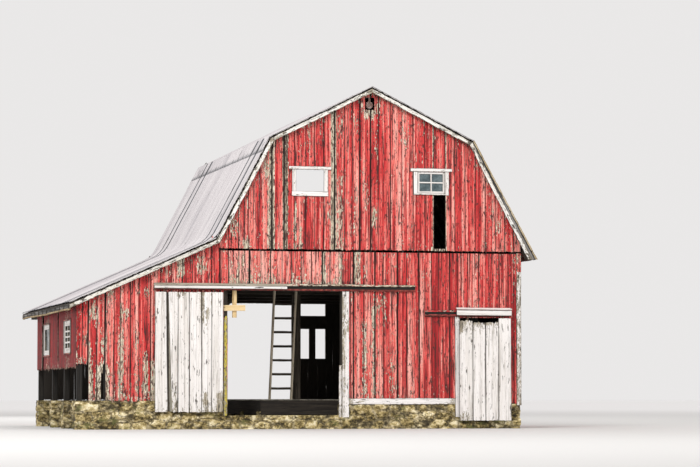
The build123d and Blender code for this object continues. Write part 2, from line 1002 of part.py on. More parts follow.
with BuildPart() as rear_window_frames:
    rear_face = (barn_depth, barn_depth + trim_thickness)
    frame_x = (rear_window_left - trim_width, rear_window_right + trim_width)
    block(frame_x, rear_face, (rear_window_bottom - trim_width, rear_window_top + trim_width))
    block(frame_x, rear_face, (transom_bottom - trim_width, transom_top + trim_width))
    for x in (rear_window_left, rear_window_right - rear_light_width):
        block(
            (x, x + rear_light_width),
            rear_face,
            (rear_window_bottom, rear_window_top),
            mode=Mode.SUBTRACT,
        )
    block(
        (rear_window_left, rear_window_right),
        rear_face,
        (transom_bottom, transom_top),
        mode=Mode.SUBTRACT,
    )
save(rear_window_frames, "rear_window_frames")

with BuildPart() as side_window_frames:
    for y in (near_side_window_y, far_side_window_y):
        frame_y = (y - side_trim_width, y + side_window_width + side_trim_width)
        block(side_face, frame_y, (side_window_bottom - side_trim_width, side_window_top + side_trim_width))
        block(
            side_face,
            (y, y + side_window_width),
            (side_window_bottom, side_window_top),
            mode=Mode.SUBTRACT,
        )
save(side_window_frames, "side_window_frames")

with BuildPart() as window_glass:
    block(
        (right_window_left, right_window_right),
        (gable_sash_y[1], gable_sash_y[1] + glass_thickness),
        (gable_window_bottom, gable_window_top),
    )
    for y in (near_side_window_y, far_side_window_y):
        block(
            (-leanto_half_width + trim_thickness - glass_thickness, -leanto_half_width + trim_thickness),
            (y, y + side_window_width),
            (side_window_bottom, side_window_top),
        )
save(window_glass, "window_glass")

# Sliding doors on their tracks. Boards hang from straps whose wheels run on a steel rail.
door_front = -door_stand_off - door_thickness
boards_back = door_front + plank_thickness
strap_back = boards_back + strap_thickness
wheel_y = (strap_back + axle_washer, strap_back + axle_washer + wheel_thickness)
rail_y = span((wheel_y[0] + wheel_y[1]) / 2, rail_thickness)
cover_y = (door_front - door_clearance - cover_thickness, door_front - door_clearance)


def track(x, board_bottom):
    """A board on the wall with the steel rail held off it by brackets."""
    block(x, on_front_wall, (board_bottom, board_bottom + track_board_height))
    rail_z = (board_bottom + rail_lift, board_bottom + rail_lift + rail_height)
    block(x, rail_y, rail_z)
    for bracket_x in spaced(x[0] + strap_width, x[1] - strap_width, bracket_count):
        block(span(bracket_x, strap_width), (rail_y[1], -trim_thickness), rail_z)


def cover(x, board_bottom):
    """A board hanging in front of the wheels under a sloping cap that throws off the rain."""
    cover_z = (board_bottom + rail_lift, board_bottom + cover_rise)
    block(x, cover_y, cover_z)
    with BuildSketch(
        Plane(origin=(ridge_x + x[0], front_y, 0), x_dir=(0, 1, 0), z_dir=(1, 0, 0))
    ) as cap:
        with BuildLine():
            Polyline(
                (cover_y[0], cover_z[1]),
                (cover_y[1], cover_z[1]),
                (-trim_thickness, cover_z[1] + cap_rise),
                (-trim_thickness, cover_z[1] + cap_rise + cap_thickness),
                (cover_y[0], cover_z[1] + cap_thickness),
                close=True,
            )
        make_face()
    extrude(cap.sketch, amount=x[1] - x[0])


def door_panel(x, z):
    """Upright boards on three ledges nailed across their back."""
    block(x, (door_front, boards_back), z)
    for ledge_z in spaced(z[0] + ledge_inset, z[1] - ledge_inset, 3):
        block(
            (x[0] + ledge_width / 2, x[1] - ledge_width / 2),
            (boards_back, boards_back + ledge_thickness),
            span(ledge_z, ledge_width),
        )


def hangers(x, door_top, board_bottom):
    """Two straps on the back of a door, each with a wheel on an axle above the rail."""
    wheel_z = board_bottom + rail_lift + rail_height + running_gap + wheel_radius
    for strap_x in (x[0] + hanger_inset, x[1] - hanger_inset):
        block(
            span(strap_x, strap_width),
            (boards_back, strap_back),
            (door_top - strap_lap, wheel_z + strap_width / 2),
        )
        with BuildSketch(
            Plane(
                origin=(ridge_x + strap_x, front_y + strap_back, wheel_z), x_dir=(1, 0, 0), z_dir=(0, 1, 0)
            )
        ) as axle:
            Circle(axle_radius)
        extrude(axle.sketch, amount=axle_washer)
        with BuildSketch(
            Plane(
                origin=(ridge_x + strap_x, front_y + wheel_y[0], wheel_z), x_dir=(1, 0, 0), z_dir=(0, 1, 0)
            )
        ) as wheel:
            Circle(wheel_radius)
        extrude(wheel.sketch, amount=wheel_thickness)


large_door_x = (door_left, door_left + door_width)
small_door_x = (small_door_left, small_door_left + small_door_width)

track_left_end = door_left - track_margin
small_track_right = small_door_left + small_door_width

with BuildPart() as door_tracks:
    track((track_left_end, doorway_right + track_overrun), doorway_top)
    track((small_door_left - small_track_reach, small_track_right), small_track_bottom)
save(door_tracks, "door_tracks")

with BuildPart() as track_covers:
    cover((track_left_end, doorway_left + cover_reach), doorway_top)
    cover((small_doorway_left - small_cover_reach, small_track_right), small_track_bottom)
save(track_covers, "track_covers")

with BuildPart() as large_door:
    door_panel(large_door_x, (door_bottom, door_bottom + door_height))
save(large_door, "large_door")

with BuildPart() as large_door_hangers:
    hangers(large_door_x, door_bottom + door_height, doorway_top)
save(large_door_hangers, "large_door_hangers")

with BuildPart() as small_door:
    door_panel(small_door_x, (small_door_bottom, small_door_bottom + small_door_height))
save(small_door, "small_door")

with BuildPart() as small_door_hangers:
    hangers(small_door_x, small_door_bottom + small_door_height, small_track_bottom)
save(small_door_hangers, "small_door_hangers")
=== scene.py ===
import math
import bpy
import numpy as np
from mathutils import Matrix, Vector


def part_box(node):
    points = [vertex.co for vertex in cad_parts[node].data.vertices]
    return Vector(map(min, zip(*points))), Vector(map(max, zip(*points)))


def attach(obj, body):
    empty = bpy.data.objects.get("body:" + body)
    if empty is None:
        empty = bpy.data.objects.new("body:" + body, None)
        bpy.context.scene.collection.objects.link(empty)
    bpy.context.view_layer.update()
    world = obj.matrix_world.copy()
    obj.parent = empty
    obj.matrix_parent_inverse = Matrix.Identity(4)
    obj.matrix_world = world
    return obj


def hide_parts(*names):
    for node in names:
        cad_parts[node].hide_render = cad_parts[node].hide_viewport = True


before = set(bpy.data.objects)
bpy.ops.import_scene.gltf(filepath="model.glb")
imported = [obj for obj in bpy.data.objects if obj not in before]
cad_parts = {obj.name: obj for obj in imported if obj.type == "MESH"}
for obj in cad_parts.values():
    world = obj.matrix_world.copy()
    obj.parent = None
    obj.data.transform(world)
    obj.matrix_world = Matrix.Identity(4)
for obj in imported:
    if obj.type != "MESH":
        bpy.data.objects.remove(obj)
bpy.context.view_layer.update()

# Lengths are in metres. The barn's own places run from its ridge (x), its front wall (y) and the ground (z).
ridgeX = (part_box("ridge_board")[0].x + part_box("ridge_board")[1].x) / 2
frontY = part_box("front_right_wall")[0].y
barn = {"depth": 8.4, "halfWidth": 3.46, "leantoHalf": 6.60, "overhang": 0.15, "belt": 3.975, "frontHead": 3.925,
        "rearHead": 4.0, "deck": 0.04, "clear": 0.004}
roofLine = np.array([(-6.765, 2.77), (-3.555, 4.19), (-2.35, 6.46), (0.0, 7.63), (2.35, 6.46), (3.825, 3.80)])
axis = {"x": np.array((1.0, 0, 0)), "y": np.array((0, 1.0, 0)), "z": np.array((0, 0, 1.0))}
back, front, left, right, up = axis["y"], -axis["y"], -axis["x"], axis["x"], axis["z"]


def place(x, y, z):  # the barn's own place in the shared frame
    return np.array((x + ridgeX, y + frontY, z))


def unit(v):
    return v / np.linalg.norm(v)


def below(depth):  # roof profile at a depth square under its surface, mitred, level at the right eave
    run = roofLine[1:] - roofLine[:-1]
    run = run / np.linalg.norm(run, axis=1)[:, None]
    down = np.stack([run[:, 1], -run[:, 0]], 1)
    inner = [roofLine[0] - (0, depth / run[0, 0])]
    for i in range(1, 5):
        share = 1 + run[i - 1] @ run[i]
        inner.append(roofLine[i] + (down[i - 1] + down[i]) * depth / share)
    inner.append(roofLine[5] - (depth / -run[4, 1], 0))
    return np.array(inner)


deckUnder = below(barn["deck"])


def gableTop(x):  # underside of the main roof's boards over x
    return np.interp(x, deckUnder[1:, 0], deckUnder[1:, 1])


def leantoTop(x):  # underside of the lean-to's boards over x
    slope = (deckUnder[1] - deckUnder[0])[1] / (deckUnder[1] - deckUnder[0])[0]
    return deckUnder[0, 1] + (x - deckUnder[0, 0]) * slope


# Finishes

class Finish:  # one procedural material; each method adds a node and gives back its output
    def __init__(self, name):
        self.material = bpy.data.materials.new(name)
        self.material.use_nodes = True
        self.tree = self.material.node_tree
        self.shader = self.tree.nodes["Principled BSDF"]

    def node(self, kind, inputs, output=0, **settings):
        made = self.tree.nodes.new("ShaderNode" + kind)
        for key, value in settings.items():
            setattr(made, key, value)
        for key, value in inputs.items():
            self.join(made.inputs[key], value)
        return made.outputs[output]

    def join(self, socket, value):
        if isinstance(value, bpy.types.NodeSocket):
            self.tree.links.new(value, socket)
        else:
            socket.default_value = value

    def read(self, name):  # a vector stored on the piece's points
        return self.node("Attribute", {}, "Vector", attribute_name=name)

    def objectPlace(self):
        return self.node("TexCoord", {}, "Object")

    def part(self, vector, letter):
        return self.node("SeparateXYZ", {0: vector}, letter)

    def noise(self, vector, scale, detail=4.0, rough=0.55):
        stretched = self.node("Mapping", {"Vector": vector, "Scale": scale})
        return self.node("TexNoise", {"Vector": stretched, "Scale": 1.0, "Detail": detail, "Roughness": rough}, "Fac")

    def math(self, operation, a, b=0.0, c=0.0):
        return self.node("Math", {0: a, 1: b, 2: c}, operation=operation)

    def total(self, *terms):  # a sum of sockets, numbers and (socket, weight) pairs
        first, *rest = [self.math("MULTIPLY", *term) if isinstance(term, tuple) else term for term in terms]
        for term in rest:
            first = self.math("ADD", first, term)
        return first

    def about(self, value, weight):  # how far a value lies from a half, weighed
        return self.math("MULTIPLY", self.math("SUBTRACT", value, 0.5), weight)

    def vein(self, vector, scale, detail=2, rough=0.5):  # 0 where a noise crosses its middle
        return self.math("ABSOLUTE", self.math("SUBTRACT", self.noise(vector, scale, detail, rough), 0.5))

    def blend(self, value, low, high, start=0.0, end=1.0):  # a smooth step from low to high
        inputs = {"Value": value, "From Min": low, "From Max": high, "To Min": start, "To Max": end}
        return self.node("MapRange", inputs, interpolation_type="SMOOTHSTEP")

    def mix(self, factor, a, b, blend="MIX"):
        a, b = ((*colour, 1) if isinstance(colour, tuple) else colour for colour in (a, b))
        return self.node("Mix", {0: factor, 6: a, 7: b}, 2, data_type="RGBA", blend_type=blend)

    def ramp(self, value, stops):
        made = self.tree.nodes.new("ShaderNodeValToRGB")
        elements = made.color_ramp.elements
        for i, (spot, colour) in enumerate(stops):
            element = elements[i] if i < 2 else elements.new(spot)
            element.position, element.color = spot, (*colour, 1)
        self.tree.links.new(value, made.inputs[0])
        return made.outputs[0]

    def dress(self, colour, roughness, height=None, distance=0.002, strength=0.6, **fixed):
        self.join(self.shader.inputs["Base Color"], colour)
        self.join(self.shader.inputs["Roughness"], roughness)
        for name, value in fixed.items():
            self.shader.inputs[name.replace("_", " ")].default_value = value
        if height is not None:
            bump = self.node("Bump", {"Height": height, "Distance": distance, "Strength": strength}, "Normal")
            self.tree.links.new(bump, self.shader.inputs["Normal"])
        return self.material


def woodColour(f, grain, tones, tint):
    # long streaks along the grain in three tones, darkened by thin drying cracks
    streak = f.noise(grain, (0.9, 26, 26), 6, 0.65)
    fibre = f.noise(grain, (5, 190, 190), 3, 0.6)
    value = f.total((streak, 0.75), (fibre, 0.25), f.about(tint, 0.14))
    colour = f.ramp(value, zip((0.34, 0.50, 0.64), tones))
    crack = f.blend(f.vein(grain, (0.7, 34, 34)), 0.004, 0.016)
    return f.mix(crack, tuple(shade * 0.3 for shade in tones[0]), colour), value, crack


def bareWood(name, tones):
    f = Finish(name)
    grain, facts = f.read("grain"), f.read("facts")
    colour, value, crack = woodColour(f, grain, tones, f.part(facts, "X"))
    return f.dress(colour, 0.86, f.total(value, (crack, 0.8)), 0.003)


def peelingPaint(name, look):
    # paint stays where a sum of stretched noises beats a level that rises with bareness and along board edges
    f = Finish(name)
    grain, facts = f.read("grain"), f.read("facts")
    tint, bare, rim = f.part(facts, "X"), f.part(facts, "Y"), f.part(facts, "Z")
    wood, value, crack = woodColour(f, grain, look["wood"], tint)
    big = f.noise(grain, look["bigFlakes"], 5, 0.6)
    small = f.noise(grain, look["smallFlakes"], 4, 0.65)
    chips = f.noise(grain, look["chipScale"], 3, 0.6)
    hold = f.total((big, 0.27), (small, 0.42), (chips, 0.31))
    level = f.total(look["level"], (bare, 0.2), (rim, look["rimWear"]), f.about(tint, 0.03))
    over = f.math("SUBTRACT", hold, level)
    painted = f.blend(over, 0.0, 0.006)
    primed = f.blend(over, -look["primerBand"] - 0.02, -look["primerBand"] + 0.02)
    streak = f.noise(grain, (1.2, 52, 52), 4, 0.7)
    fade = f.about(f.noise(grain, look["fadeScale"], 4, 0.6), look["fadeSpread"])
    fade = f.total(fade, f.about(tint, look["tintSpread"]), f.about(streak, look["streaks"]), 0.5)
    paint = f.ramp(fade, look["paint"])
    # long dark lines where a very stretched noise crosses its middle, broken along the board
    broken = f.blend(f.noise(grain, (1.7, 9, 9), 3, 0.6), 0.40, 0.56)
    line = f.blend(f.vein(grain, look["lineScale"]), 0.012, 0.040, look["lines"], 0.0)
    paint = f.mix(f.math("MULTIPLY", line, broken), paint, look["lineColour"])
    speck = f.blend(f.noise(grain, (34, 62, 62), 2, 0.7), 0.58, 0.72, 0.0, look["specks"])
    paint = f.mix(speck, paint, look["speckColour"])
    primer = f.mix(f.blend(streak, 0.42, 0.62), look["primer"], look["primerDark"])
    colour = f.mix(painted, f.mix(primed, wood, primer), paint)
    marks = f.total(f.noise(grain, look["markScale"], 3, 0.65), (bare, 0.06))
    marks = f.blend(marks, look["markLevel"], look["markLevel"] + 0.05, 0.0, look["marks"])
    colour = f.mix(marks, colour, look["markColour"])
    # dark outlines along the flakes' edges: painted shadow under the lifted paint
    edge = f.math("ABSOLUTE", f.math("ADD", over, 0.004))
    colour = f.mix(f.blend(edge, 0.002, 0.013, look["flakeEdgeShade"], 0.0), colour, look["markColour"])
    colour = f.mix(f.blend(crack, 0.0, 1.0, look["crackShow"], 0.0), colour, look["crackColour"])
    # darker along board edges and grooves: grime in the joints, and painted shade in them
    colour = f.mix(f.blend(rim, 0.5, 0.95, 0.0, look["rimDark"]), colour, look["rimColour"])
    # bareness past 3 marks a board's back, coloured near-black: bare wood darkened as painted shade of the dark inside
    colour = f.mix(f.blend(bare, 2.8, 3.4), colour, f.mix(crack, (0.010, 0.008, 0.006), look["inside"]))
    height = f.total((painted, 0.9), (value, 0.8), (crack, 0.5))
    return f.dress(colour, look["roughness"], height, 0.0022)


wornTones = ((0.050, 0.036, 0.022), (0.27, 0.225, 0.155), (0.60, 0.53, 0.40))
greyTones = ((0.12, 0.11, 0.088), (0.31, 0.285, 0.225), (0.52, 0.48, 0.38))
# near-black wood: painted shade, for pieces set where a joint, a recess or the inside lies in shade
paintedShadeTones = ((0.004, 0.003, 0.002), (0.010, 0.008, 0.006), (0.026, 0.021, 0.016))
# very dark timber: old wood, darkened further as painted shade of the barn's inside
darkShadedTones = ((0.016, 0.012, 0.009), (0.042, 0.032, 0.023), (0.095, 0.076, 0.056))
paleTones = ((0.55, 0.36, 0.15), (0.82, 0.60, 0.31), (0.93, 0.74, 0.46))

redLook = {
    "wood": wornTones, "primer": (0.86, 0.78, 0.62), "primerDark": (0.36, 0.28, 0.175), "level": 0.376, "rimWear": 0.03,
    "primerBand": 0.11, "bigFlakes": (2.4, 15, 15), "smallFlakes": (8, 28, 28), "chipScale": (22, 50, 50),
    "fadeScale": (0.30, 12, 12), "fadeSpread": 1.7, "tintSpread": 0.20, "streaks": 1.2, "specks": 0.85,
    "speckColour": (0.13, 0.014, 0.012), "lineScale": (0.30, 17, 17), "lines": 0.95,
    "lineColour": (0.055, 0.008, 0.007),
    "marks": 0.92, "markScale": (8, 30, 30), "markLevel": 0.574, "markColour": (0.050, 0.014, 0.011), "flakeEdgeShade": 0.8,
    "crackShow": 0.55, "crackColour": (0.05, 0.008, 0.006), "roughness": 0.74, "rimDark": 0.88,
    "rimColour": (0.030, 0.007, 0.005), "inside": (0.030, 0.023, 0.017),
    "paint": [(0.20, (0.24, 0.004, 0.006)), (0.36, (0.56, 0.013, 0.016)), (0.50, (0.69, 0.054, 0.050)),
              (0.64, (0.86, 0.19, 0.155)), (0.82, (0.95, 0.44, 0.37))]}
whiteLook = {
    "wood": ((0.07, 0.055, 0.035), (0.27, 0.225, 0.155), (0.50, 0.44, 0.34)),
    "primer": (0.70, 0.64, 0.53), "primerDark": (0.45, 0.40, 0.31),
    "level": 0.345, "rimWear": 0.03, "primerBand": 0.03, "bigFlakes": (2.4, 13, 13), "smallFlakes": (9, 30, 30),
    "chipScale": (24, 52, 52), "fadeScale": (0.4, 9, 9), "fadeSpread": 1.2, "tintSpread": 0.10, "streaks": 0.6,
    "specks": 0.3,
    "speckColour": (0.40, 0.35, 0.28), "lineScale": (0.35, 13, 13), "lines": 0.45, "lineColour": (0.22, 0.19, 0.15),
    "marks": 0.95, "markScale": (4.5, 24, 24), "markLevel": 0.630, "markColour": (0.060, 0.052, 0.038),
    "flakeEdgeShade": 0.7,
    "crackShow": 0.30, "crackColour": (0.16, 0.14, 0.12), "roughness": 0.62, "rimDark": 0.75,
    "rimColour": (0.06, 0.052, 0.04),
    "inside": (0.06, 0.05, 0.04),
    "paint": [(0.22, (0.66, 0.61, 0.56)), (0.36, (0.80, 0.76, 0.72)), (0.50, (0.87, 0.83, 0.80)),
              (0.66, (0.91, 0.875, 0.85)), (0.82, (0.94, 0.91, 0.89))]}
rakeLook = {**whiteLook, "level": 0.372, "rimWear": 0.05, "marks": 0.95, "markScale": (6, 26, 26), "markLevel": 0.57,
            "paint": [(0.22, (0.58, 0.53, 0.43)), (0.36, (0.74, 0.70, 0.61)), (0.50, (0.85, 0.82, 0.75)),
                      (0.66, (0.90, 0.88, 0.84)), (0.82, (0.94, 0.93, 0.90))]}
oliveLook = {**whiteLook, "level": 0.43, "marks": 0.95, "markScale": (14, 50, 50), "markLevel": 0.56,
             "paint": [(0.30, (0.26, 0.20, 0.02)), (0.45, (0.46, 0.37, 0.03)), (0.60, (0.62, 0.50, 0.05))]}
redPaint, whitePaint = peelingPaint("redPaint", redLook), peelingPaint("whitePaint", whiteLook)
olivePaint, rakePaint = peelingPaint("olivePaint", oliveLook), peelingPaint("rakePaint", rakeLook)
greyWood = bareWood("greyWood", greyTones)
darkShadedWood, paintedShadeWood = bareWood("darkShadedWood", darkShadedTones), bareWood("paintedShadeWood", paintedShadeTones)
# paler wood: painted light on the ladder's rails
ladderLitTan = bareWood("ladderLitTan", ((0.10, 0.08, 0.055), (0.46, 0.39, 0.29), (0.80, 0.70, 0.54)))
# near-black wood with pale flecks: painted shade, for the recessed boards under the roof's edges
eaveShadeWood = bareWood("eaveShadeWood", ((0.008, 0.007, 0.006), (0.05, 0.046, 0.042), (0.36, 0.34, 0.32)))
sheetRim = bareWood("sheetRim", ((0.12, 0.115, 0.12), (0.50, 0.475, 0.47), (0.68, 0.65, 0.64)))
newWood = bareWood("newWood", paleTones)
tanWood = bareWood("tanWood", ((0.22, 0.14, 0.06), (0.54, 0.41, 0.22), (0.78, 0.66, 0.46)))


def roofFinish():  # facts hold each sheet's tint and a second value: dirt towards the ends, and along some seams a strip for painted shade
    f = Finish("roofMetal")
    grain, facts = f.read("grain"), f.read("facts")
    tint, dirt = f.part(facts, "X"), f.part(facts, "Y")
    broad = f.noise(grain, (0.35, 1.3, 1.3), 3)
    run = f.noise(grain, (0.40, 4.5, 4.5), 2, 0.5)
    value = f.total((broad, 0.55), (run, 0.45), f.about(tint, 0.10))
    colour = f.ramp(value, [(0.38, (0.46, 0.435, 0.45)), (0.48, (0.585, 0.55, 0.56)), (0.60, (0.66, 0.625, 0.63))])
    # dark bluish strips along the marked seams: painted shade of lifted sheet edges
    seam = f.math("MULTIPLY", f.blend(dirt, 0.45, 0.80), f.blend(run, 0.34, 0.46, 0.55, 0.92))
    colour = f.mix(seam, colour, (0.060, 0.068, 0.082))
    grime = f.total(f.noise(grain, (2.5, 7, 7), 3, 0.6), (dirt, 0.2))
    colour = f.mix(f.blend(grime, 0.66, 0.76, 0.0, 0.75), colour, (0.085, 0.082, 0.080))
    rough = f.blend(run, 0.3, 0.7, 0.74, 0.88)
    return f.dress(colour, rough, f.noise(grain, (1.2, 3, 3), 2), 0.004, 0.15, Specular_IOR_Level=0.15)


def stoneFinish():  # facts hold each stone's tint and how far a point stands out of the mortar
    f = Finish("rubble")
    grain, facts = f.read("grain"), f.read("facts")
    tint, outward = f.part(facts, "X"), f.part(facts, "Y")
    blotch, grit = f.noise(grain, (4.5, 4.5, 7), 4, 0.6), f.noise(grain, (13, 13, 17), 5, 0.7)
    value = f.total(f.about(blotch, 1.2), f.about(grit, 1.35))
    stone = f.ramp(f.total(value, f.about(tint, 0.34), 0.54), [
        (0.22, (0.018, 0.012, 0.004)), (0.38, (0.11, 0.080, 0.026)), (0.53, (0.35, 0.265, 0.105)),
        (0.68, (0.62, 0.50, 0.25)), (0.84, (0.90, 0.80, 0.55))])
    mortar = f.ramp(f.total(value, 0.5), [
        (0.30, (0.06, 0.045, 0.02)), (0.52, (0.26, 0.205, 0.10)), (0.72, (0.56, 0.47, 0.29))])
    colour = f.mix(f.blend(f.total(outward, (blotch, 0.5)), 0.5, 0.85), mortar, stone)
    colour = f.mix(f.blend(outward, 0.0, 0.10, 0.8, 0.0), colour, (0.022, 0.016, 0.008))
    crack = f.vein(grain, (3, 3, 4), 3, 0.6)
    colour = f.mix(f.blend(crack, 0.004, 0.03, 0.75, 0.0), colour, (0.035, 0.028, 0.014))
    moss = f.blend(f.noise(grain, (2.2, 2.2, 3.4), 5, 0.7), 0.54, 0.66, 0.0, 0.75)
    colour = f.mix(moss, colour, (0.15, 0.15, 0.045))
    return f.dress(colour, 0.94, f.total(blotch, grit), 0.014, 0.8)


def ironFinish(name, tones):
    f = Finish(name)
    spot = f.objectPlace()
    rust = f.noise(spot, (18, 18, 18), 6, 0.65)
    return f.dress(f.ramp(rust, tones), f.blend(rust, 0.4, 0.6, 0.55, 0.9), rust, 0.002, 0.7, Metallic=0.3)


def glassFinish():  # darker low down in the lean-to's windows, as painted shade of that side
    f = Finish("dustyGlass")
    spot = f.objectPlace()
    dust = f.noise(spot, (6, 6, 6), 5, 0.65)
    # painted shade: the glass darkens below 4 m
    high = f.blend(f.part(spot, "Z"), 3.0, 4.0, 0.35, 1.0)
    tone = f.ramp(dust, [(0.38, (0.045, 0.070, 0.078)), (0.62, (0.13, 0.175, 0.185))])
    colour = f.mix(1.0, tone, f.node("CombineXYZ", {0: high, 1: high, 2: high}), "MULTIPLY")
    return f.dress(colour, f.blend(dust, 0.4, 0.65, 0.10, 0.38), dust, 0.001, 0.2, Specular_IOR_Level=0.5)


roofMetal, rubbleStone = roofFinish(), stoneFinish()
railPaint = ironFinish("railPaint", [
    (0.38, (0.06, 0.012, 0.009)), (0.52, (0.22, 0.035, 0.027)), (0.66, (0.40, 0.12, 0.085))])
rustyIron = ironFinish("rustyIron", [
    (0.38, (0.045, 0.035, 0.03)), (0.52, (0.14, 0.065, 0.035)), (0.66, (0.30, 0.13, 0.055))])
pulleyRust = ironFinish("pulleyRust", [
    (0.38, (0.45, 0.24, 0.19)), (0.50, (0.78, 0.54, 0.47)), (0.64, (0.92, 0.76, 0.70))])
dustyGlass = glassFinish()
print("finishes ready")


# Wood and sheet pieces

def wander(rng, t, step):  # a smooth random line along t, about one wide
    knots = np.arange(t.min() - step, t.max() + 2 * step, step)
    return np.interp(t, knots, rng.normal(size=len(knots)))


# What all boards share: lengths in metres, and bareness along strips, ends and backs, where backs go past 3 for their
# near-black painted shade
boardCut = {
    "grooveHalf": 0.008, "grooveDeep": 0.006, "grooveRim": 0.85, "rimReach": 0.03, "rimMiddle": 0.013,
    "wideBoard": 0.09,
    "edgeDrop": 0.8, "bowStep": 1.1, "uneven": 0.0006, "hair": 0.0005, "stripEdge": 0.004, "stripWear": 0.9,
    "backBareAndShade": 4.0, "footReach": 0.3, "headReach": 0.25, "grainSpread": 60,
    "wideGap": 0.011, "sliver": 0.012, "shortest": 0.02, "oneGroove": 0.12, "twoGrooves": 0.20, "wallStep": 0.14,
    "ownWear": 0.10, "cutRag": 0.002, "battenHalf": 0.03, "widths": (0.20, 0.28), "patchSoft": (0.03, 0.12),
}


def pathReach(path):  # how far each point lies along a path
    return np.concatenate([[0], np.cumsum(np.linalg.norm(np.diff(path, axis=0), axis=1))])


def plank(rng, start, along, across, size, tint=None, offset=None, bare=0.0, grooves=(), step=0.15, edge=0.004,
          bow=0.003, cup=0.0008, rag=(0.0, 0.0), slant=(0.0, 0.0), chip=0.0015, flush=(False, False),
          endWear=(0.0, 0.0), splay=(0.0, 0.0), strip=(0.0, 0.0), extra=0, section=None, path=None, wear=None):
    # A board as a grid: t runs along it, a across it and b through it. The point is
    # start + t * along + a * across + b * out, or on a path its point at t + a * across + b * its normal.
    c = boardCut
    length, width, thick = size
    across = np.asarray(across, float)
    half = width / 2
    if section is None:
        marks = [-half, -half + edge, half - edge, half, 0.0, *np.linspace(-half, half, extra + 2)[1:-1]]
        if width > c["wideBoard"]:
            marks += [side * (half - inset) for side in (-1, 1) for inset in (c["rimReach"], c["rimMiddle"])]
        for g in grooves:
            marks += [g - c["grooveHalf"], g, g + c["grooveHalf"]]
        for side, wide in zip((-1, 1), strip):
            marks += [side * (half - wide), side * (half - wide - c["stripEdge"])] if wide else []
        marks = np.unique(np.round(marks, 5))
        lift = np.zeros(len(marks))
    else:
        marks, lift = np.array(section[0], float), np.array(section[1], float)
    rows = max(2, int(round(length / step)) + 1)
    share = np.linspace(0, 1, rows)[:, None]
    low = marks * slant[0] + rng.normal(size=len(marks)) * rag[0]
    high = length + marks * slant[1] + rng.normal(size=len(marks)) * rag[1]
    t = low + share * (high - low)
    flat = bow if not any(flush) else 0.0
    a = marks + flat * wander(rng, share[:, 0] * length, c["bowStep"])[:, None]
    a = a + (1 - share) * (splay[0] * (0.5 - marks / width) + splay[1] * (0.5 + marks / width))
    for side, fixed, ends in ((1, flush[0], slice(0, 2)), (-1, flush[1], slice(-2, None))):
        if not fixed and chip:
            a[:, ends] += side * (np.abs(rng.normal(size=rows)) * chip)[:, None]
    uneven = rng.normal(size=(rows, len(marks))) * min(c["uneven"], thick / 20)
    top = thick + lift + cup * (1 - (marks / half) ** 2) + uneven
    if section is None:
        for column, fixed in zip((0, -1), flush):
            top[:, column] -= 0.0 if fixed else edge * c["edgeDrop"]
    for g in grooves:
        top[:, np.abs(marks - g) < c["hair"]] -= c["grooveDeep"]
    under = np.broadcast_to(lift, top.shape)
    t, a = np.stack([t, t], -1), np.stack([a, a], -1)
    b = np.stack([under, top], -1)
    if path is None:
        along = np.asarray(along, float)
        out = np.cross(across, along)
        points = np.asarray(start, float) + t[..., None] * along + a[..., None] * across + b[..., None] * out
    else:
        reach = pathReach(path)
        aim = np.gradient(path, reach, axis=0)
        normal = np.cross(across, aim)
        normal /= np.linalg.norm(normal, axis=1)[:, None]
        spot = np.stack([np.interp(t, reach, path[:, k]) for k in range(3)], -1)
        tilt = np.stack([np.interp(t, reach, normal[:, k]) for k in range(3)], -1)
        points = spot + a[..., None] * across + b[..., None] * tilt
    offset = rng.uniform(0, c["grainSpread"], 3) if offset is None else offset
    tint = rng.random() if tint is None else tint
    far = [np.full(len(marks), np.inf) if fixed else side for fixed, side in zip(flush, (marks + half, half - marks))]
    rim = np.clip(1 - np.minimum(*far) / c["rimReach"], 0, 1)
    for g in grooves:
        rim = np.where(np.abs(marks - g) < c["hair"], c["grooveRim"], rim)
    worn = bare + endWear[0] * np.exp(-t / c["footReach"]) + endWear[1] * np.exp(-(length - t) / c["headReach"])
    for side, wide in zip((-1, 1), strip):
        if wide:
            worn = worn + np.where(side * marks > half - wide - 0.001, c["stripWear"], 0.0)[:, None]
    worn = worn + np.array((c["backBareAndShade"], 0.0))
    if wear is not None:
        worn = worn + wear(points)
    grain = np.stack([t + offset[0], a + offset[1], b + offset[2]], -1)
    facts = np.stack([np.full(t.shape, tint), worn, np.broadcast_to(rim[None, :, None], t.shape)], -1)
    index = np.arange(rows * len(marks) * 2).reshape(rows, len(marks), 2)
    i0, i1 = index[:-1], index[1:]
    quads = [
        np.stack([i0[:, :-1, 1], i0[:, 1:, 1], i1[:, 1:, 1], i1[:, :-1, 1]], -1),
        np.stack([i1[:, :-1, 0], i1[:, 1:, 0], i0[:, 1:, 0], i0[:, :-1, 0]], -1),
        np.stack([i0[:, -1, 1], i0[:, -1, 0], i1[:, -1, 0], i1[:, -1, 1]], -1),
        np.stack([i1[:, 0, 1], i1[:, 0, 0], i0[:, 0, 0], i0[:, 0, 1]], -1),
        np.stack([index[0, :-1, 1], index[0, :-1, 0], index[0, 1:, 0], index[0, 1:, 1]], -1),
        np.stack([index[-1, 1:, 1], index[-1, 1:, 0], index[-1, :-1, 0], index[-1, :-1, 1]], -1),
    ]
    quads = np.concatenate([q.reshape(-1, 4) for q in quads])
    return points.reshape(-1, 3), quads, grain.reshape(-1, 3), facts.reshape(-1, 3)


def boxPlank(rng, low, high, along, out, **look):  # a plank that fills a box, along one direction and facing another
    size = high - low
    across = np.cross(along, out)
    length, width, thick = (abs(size @ np.abs(v)) for v in (along, across, out))
    start = (low + high) / 2 - along * length / 2 - out * thick / 2
    return plank(rng, start, along, across, (length, width, thick), **look)


def timber(rng, x, y, z, along, out, **look):  # the same, its box given in the barn's own places
    return boxPlank(rng, place(x[0], y[0], z[0]), place(x[1], y[1], z[1]), along, out, **look)


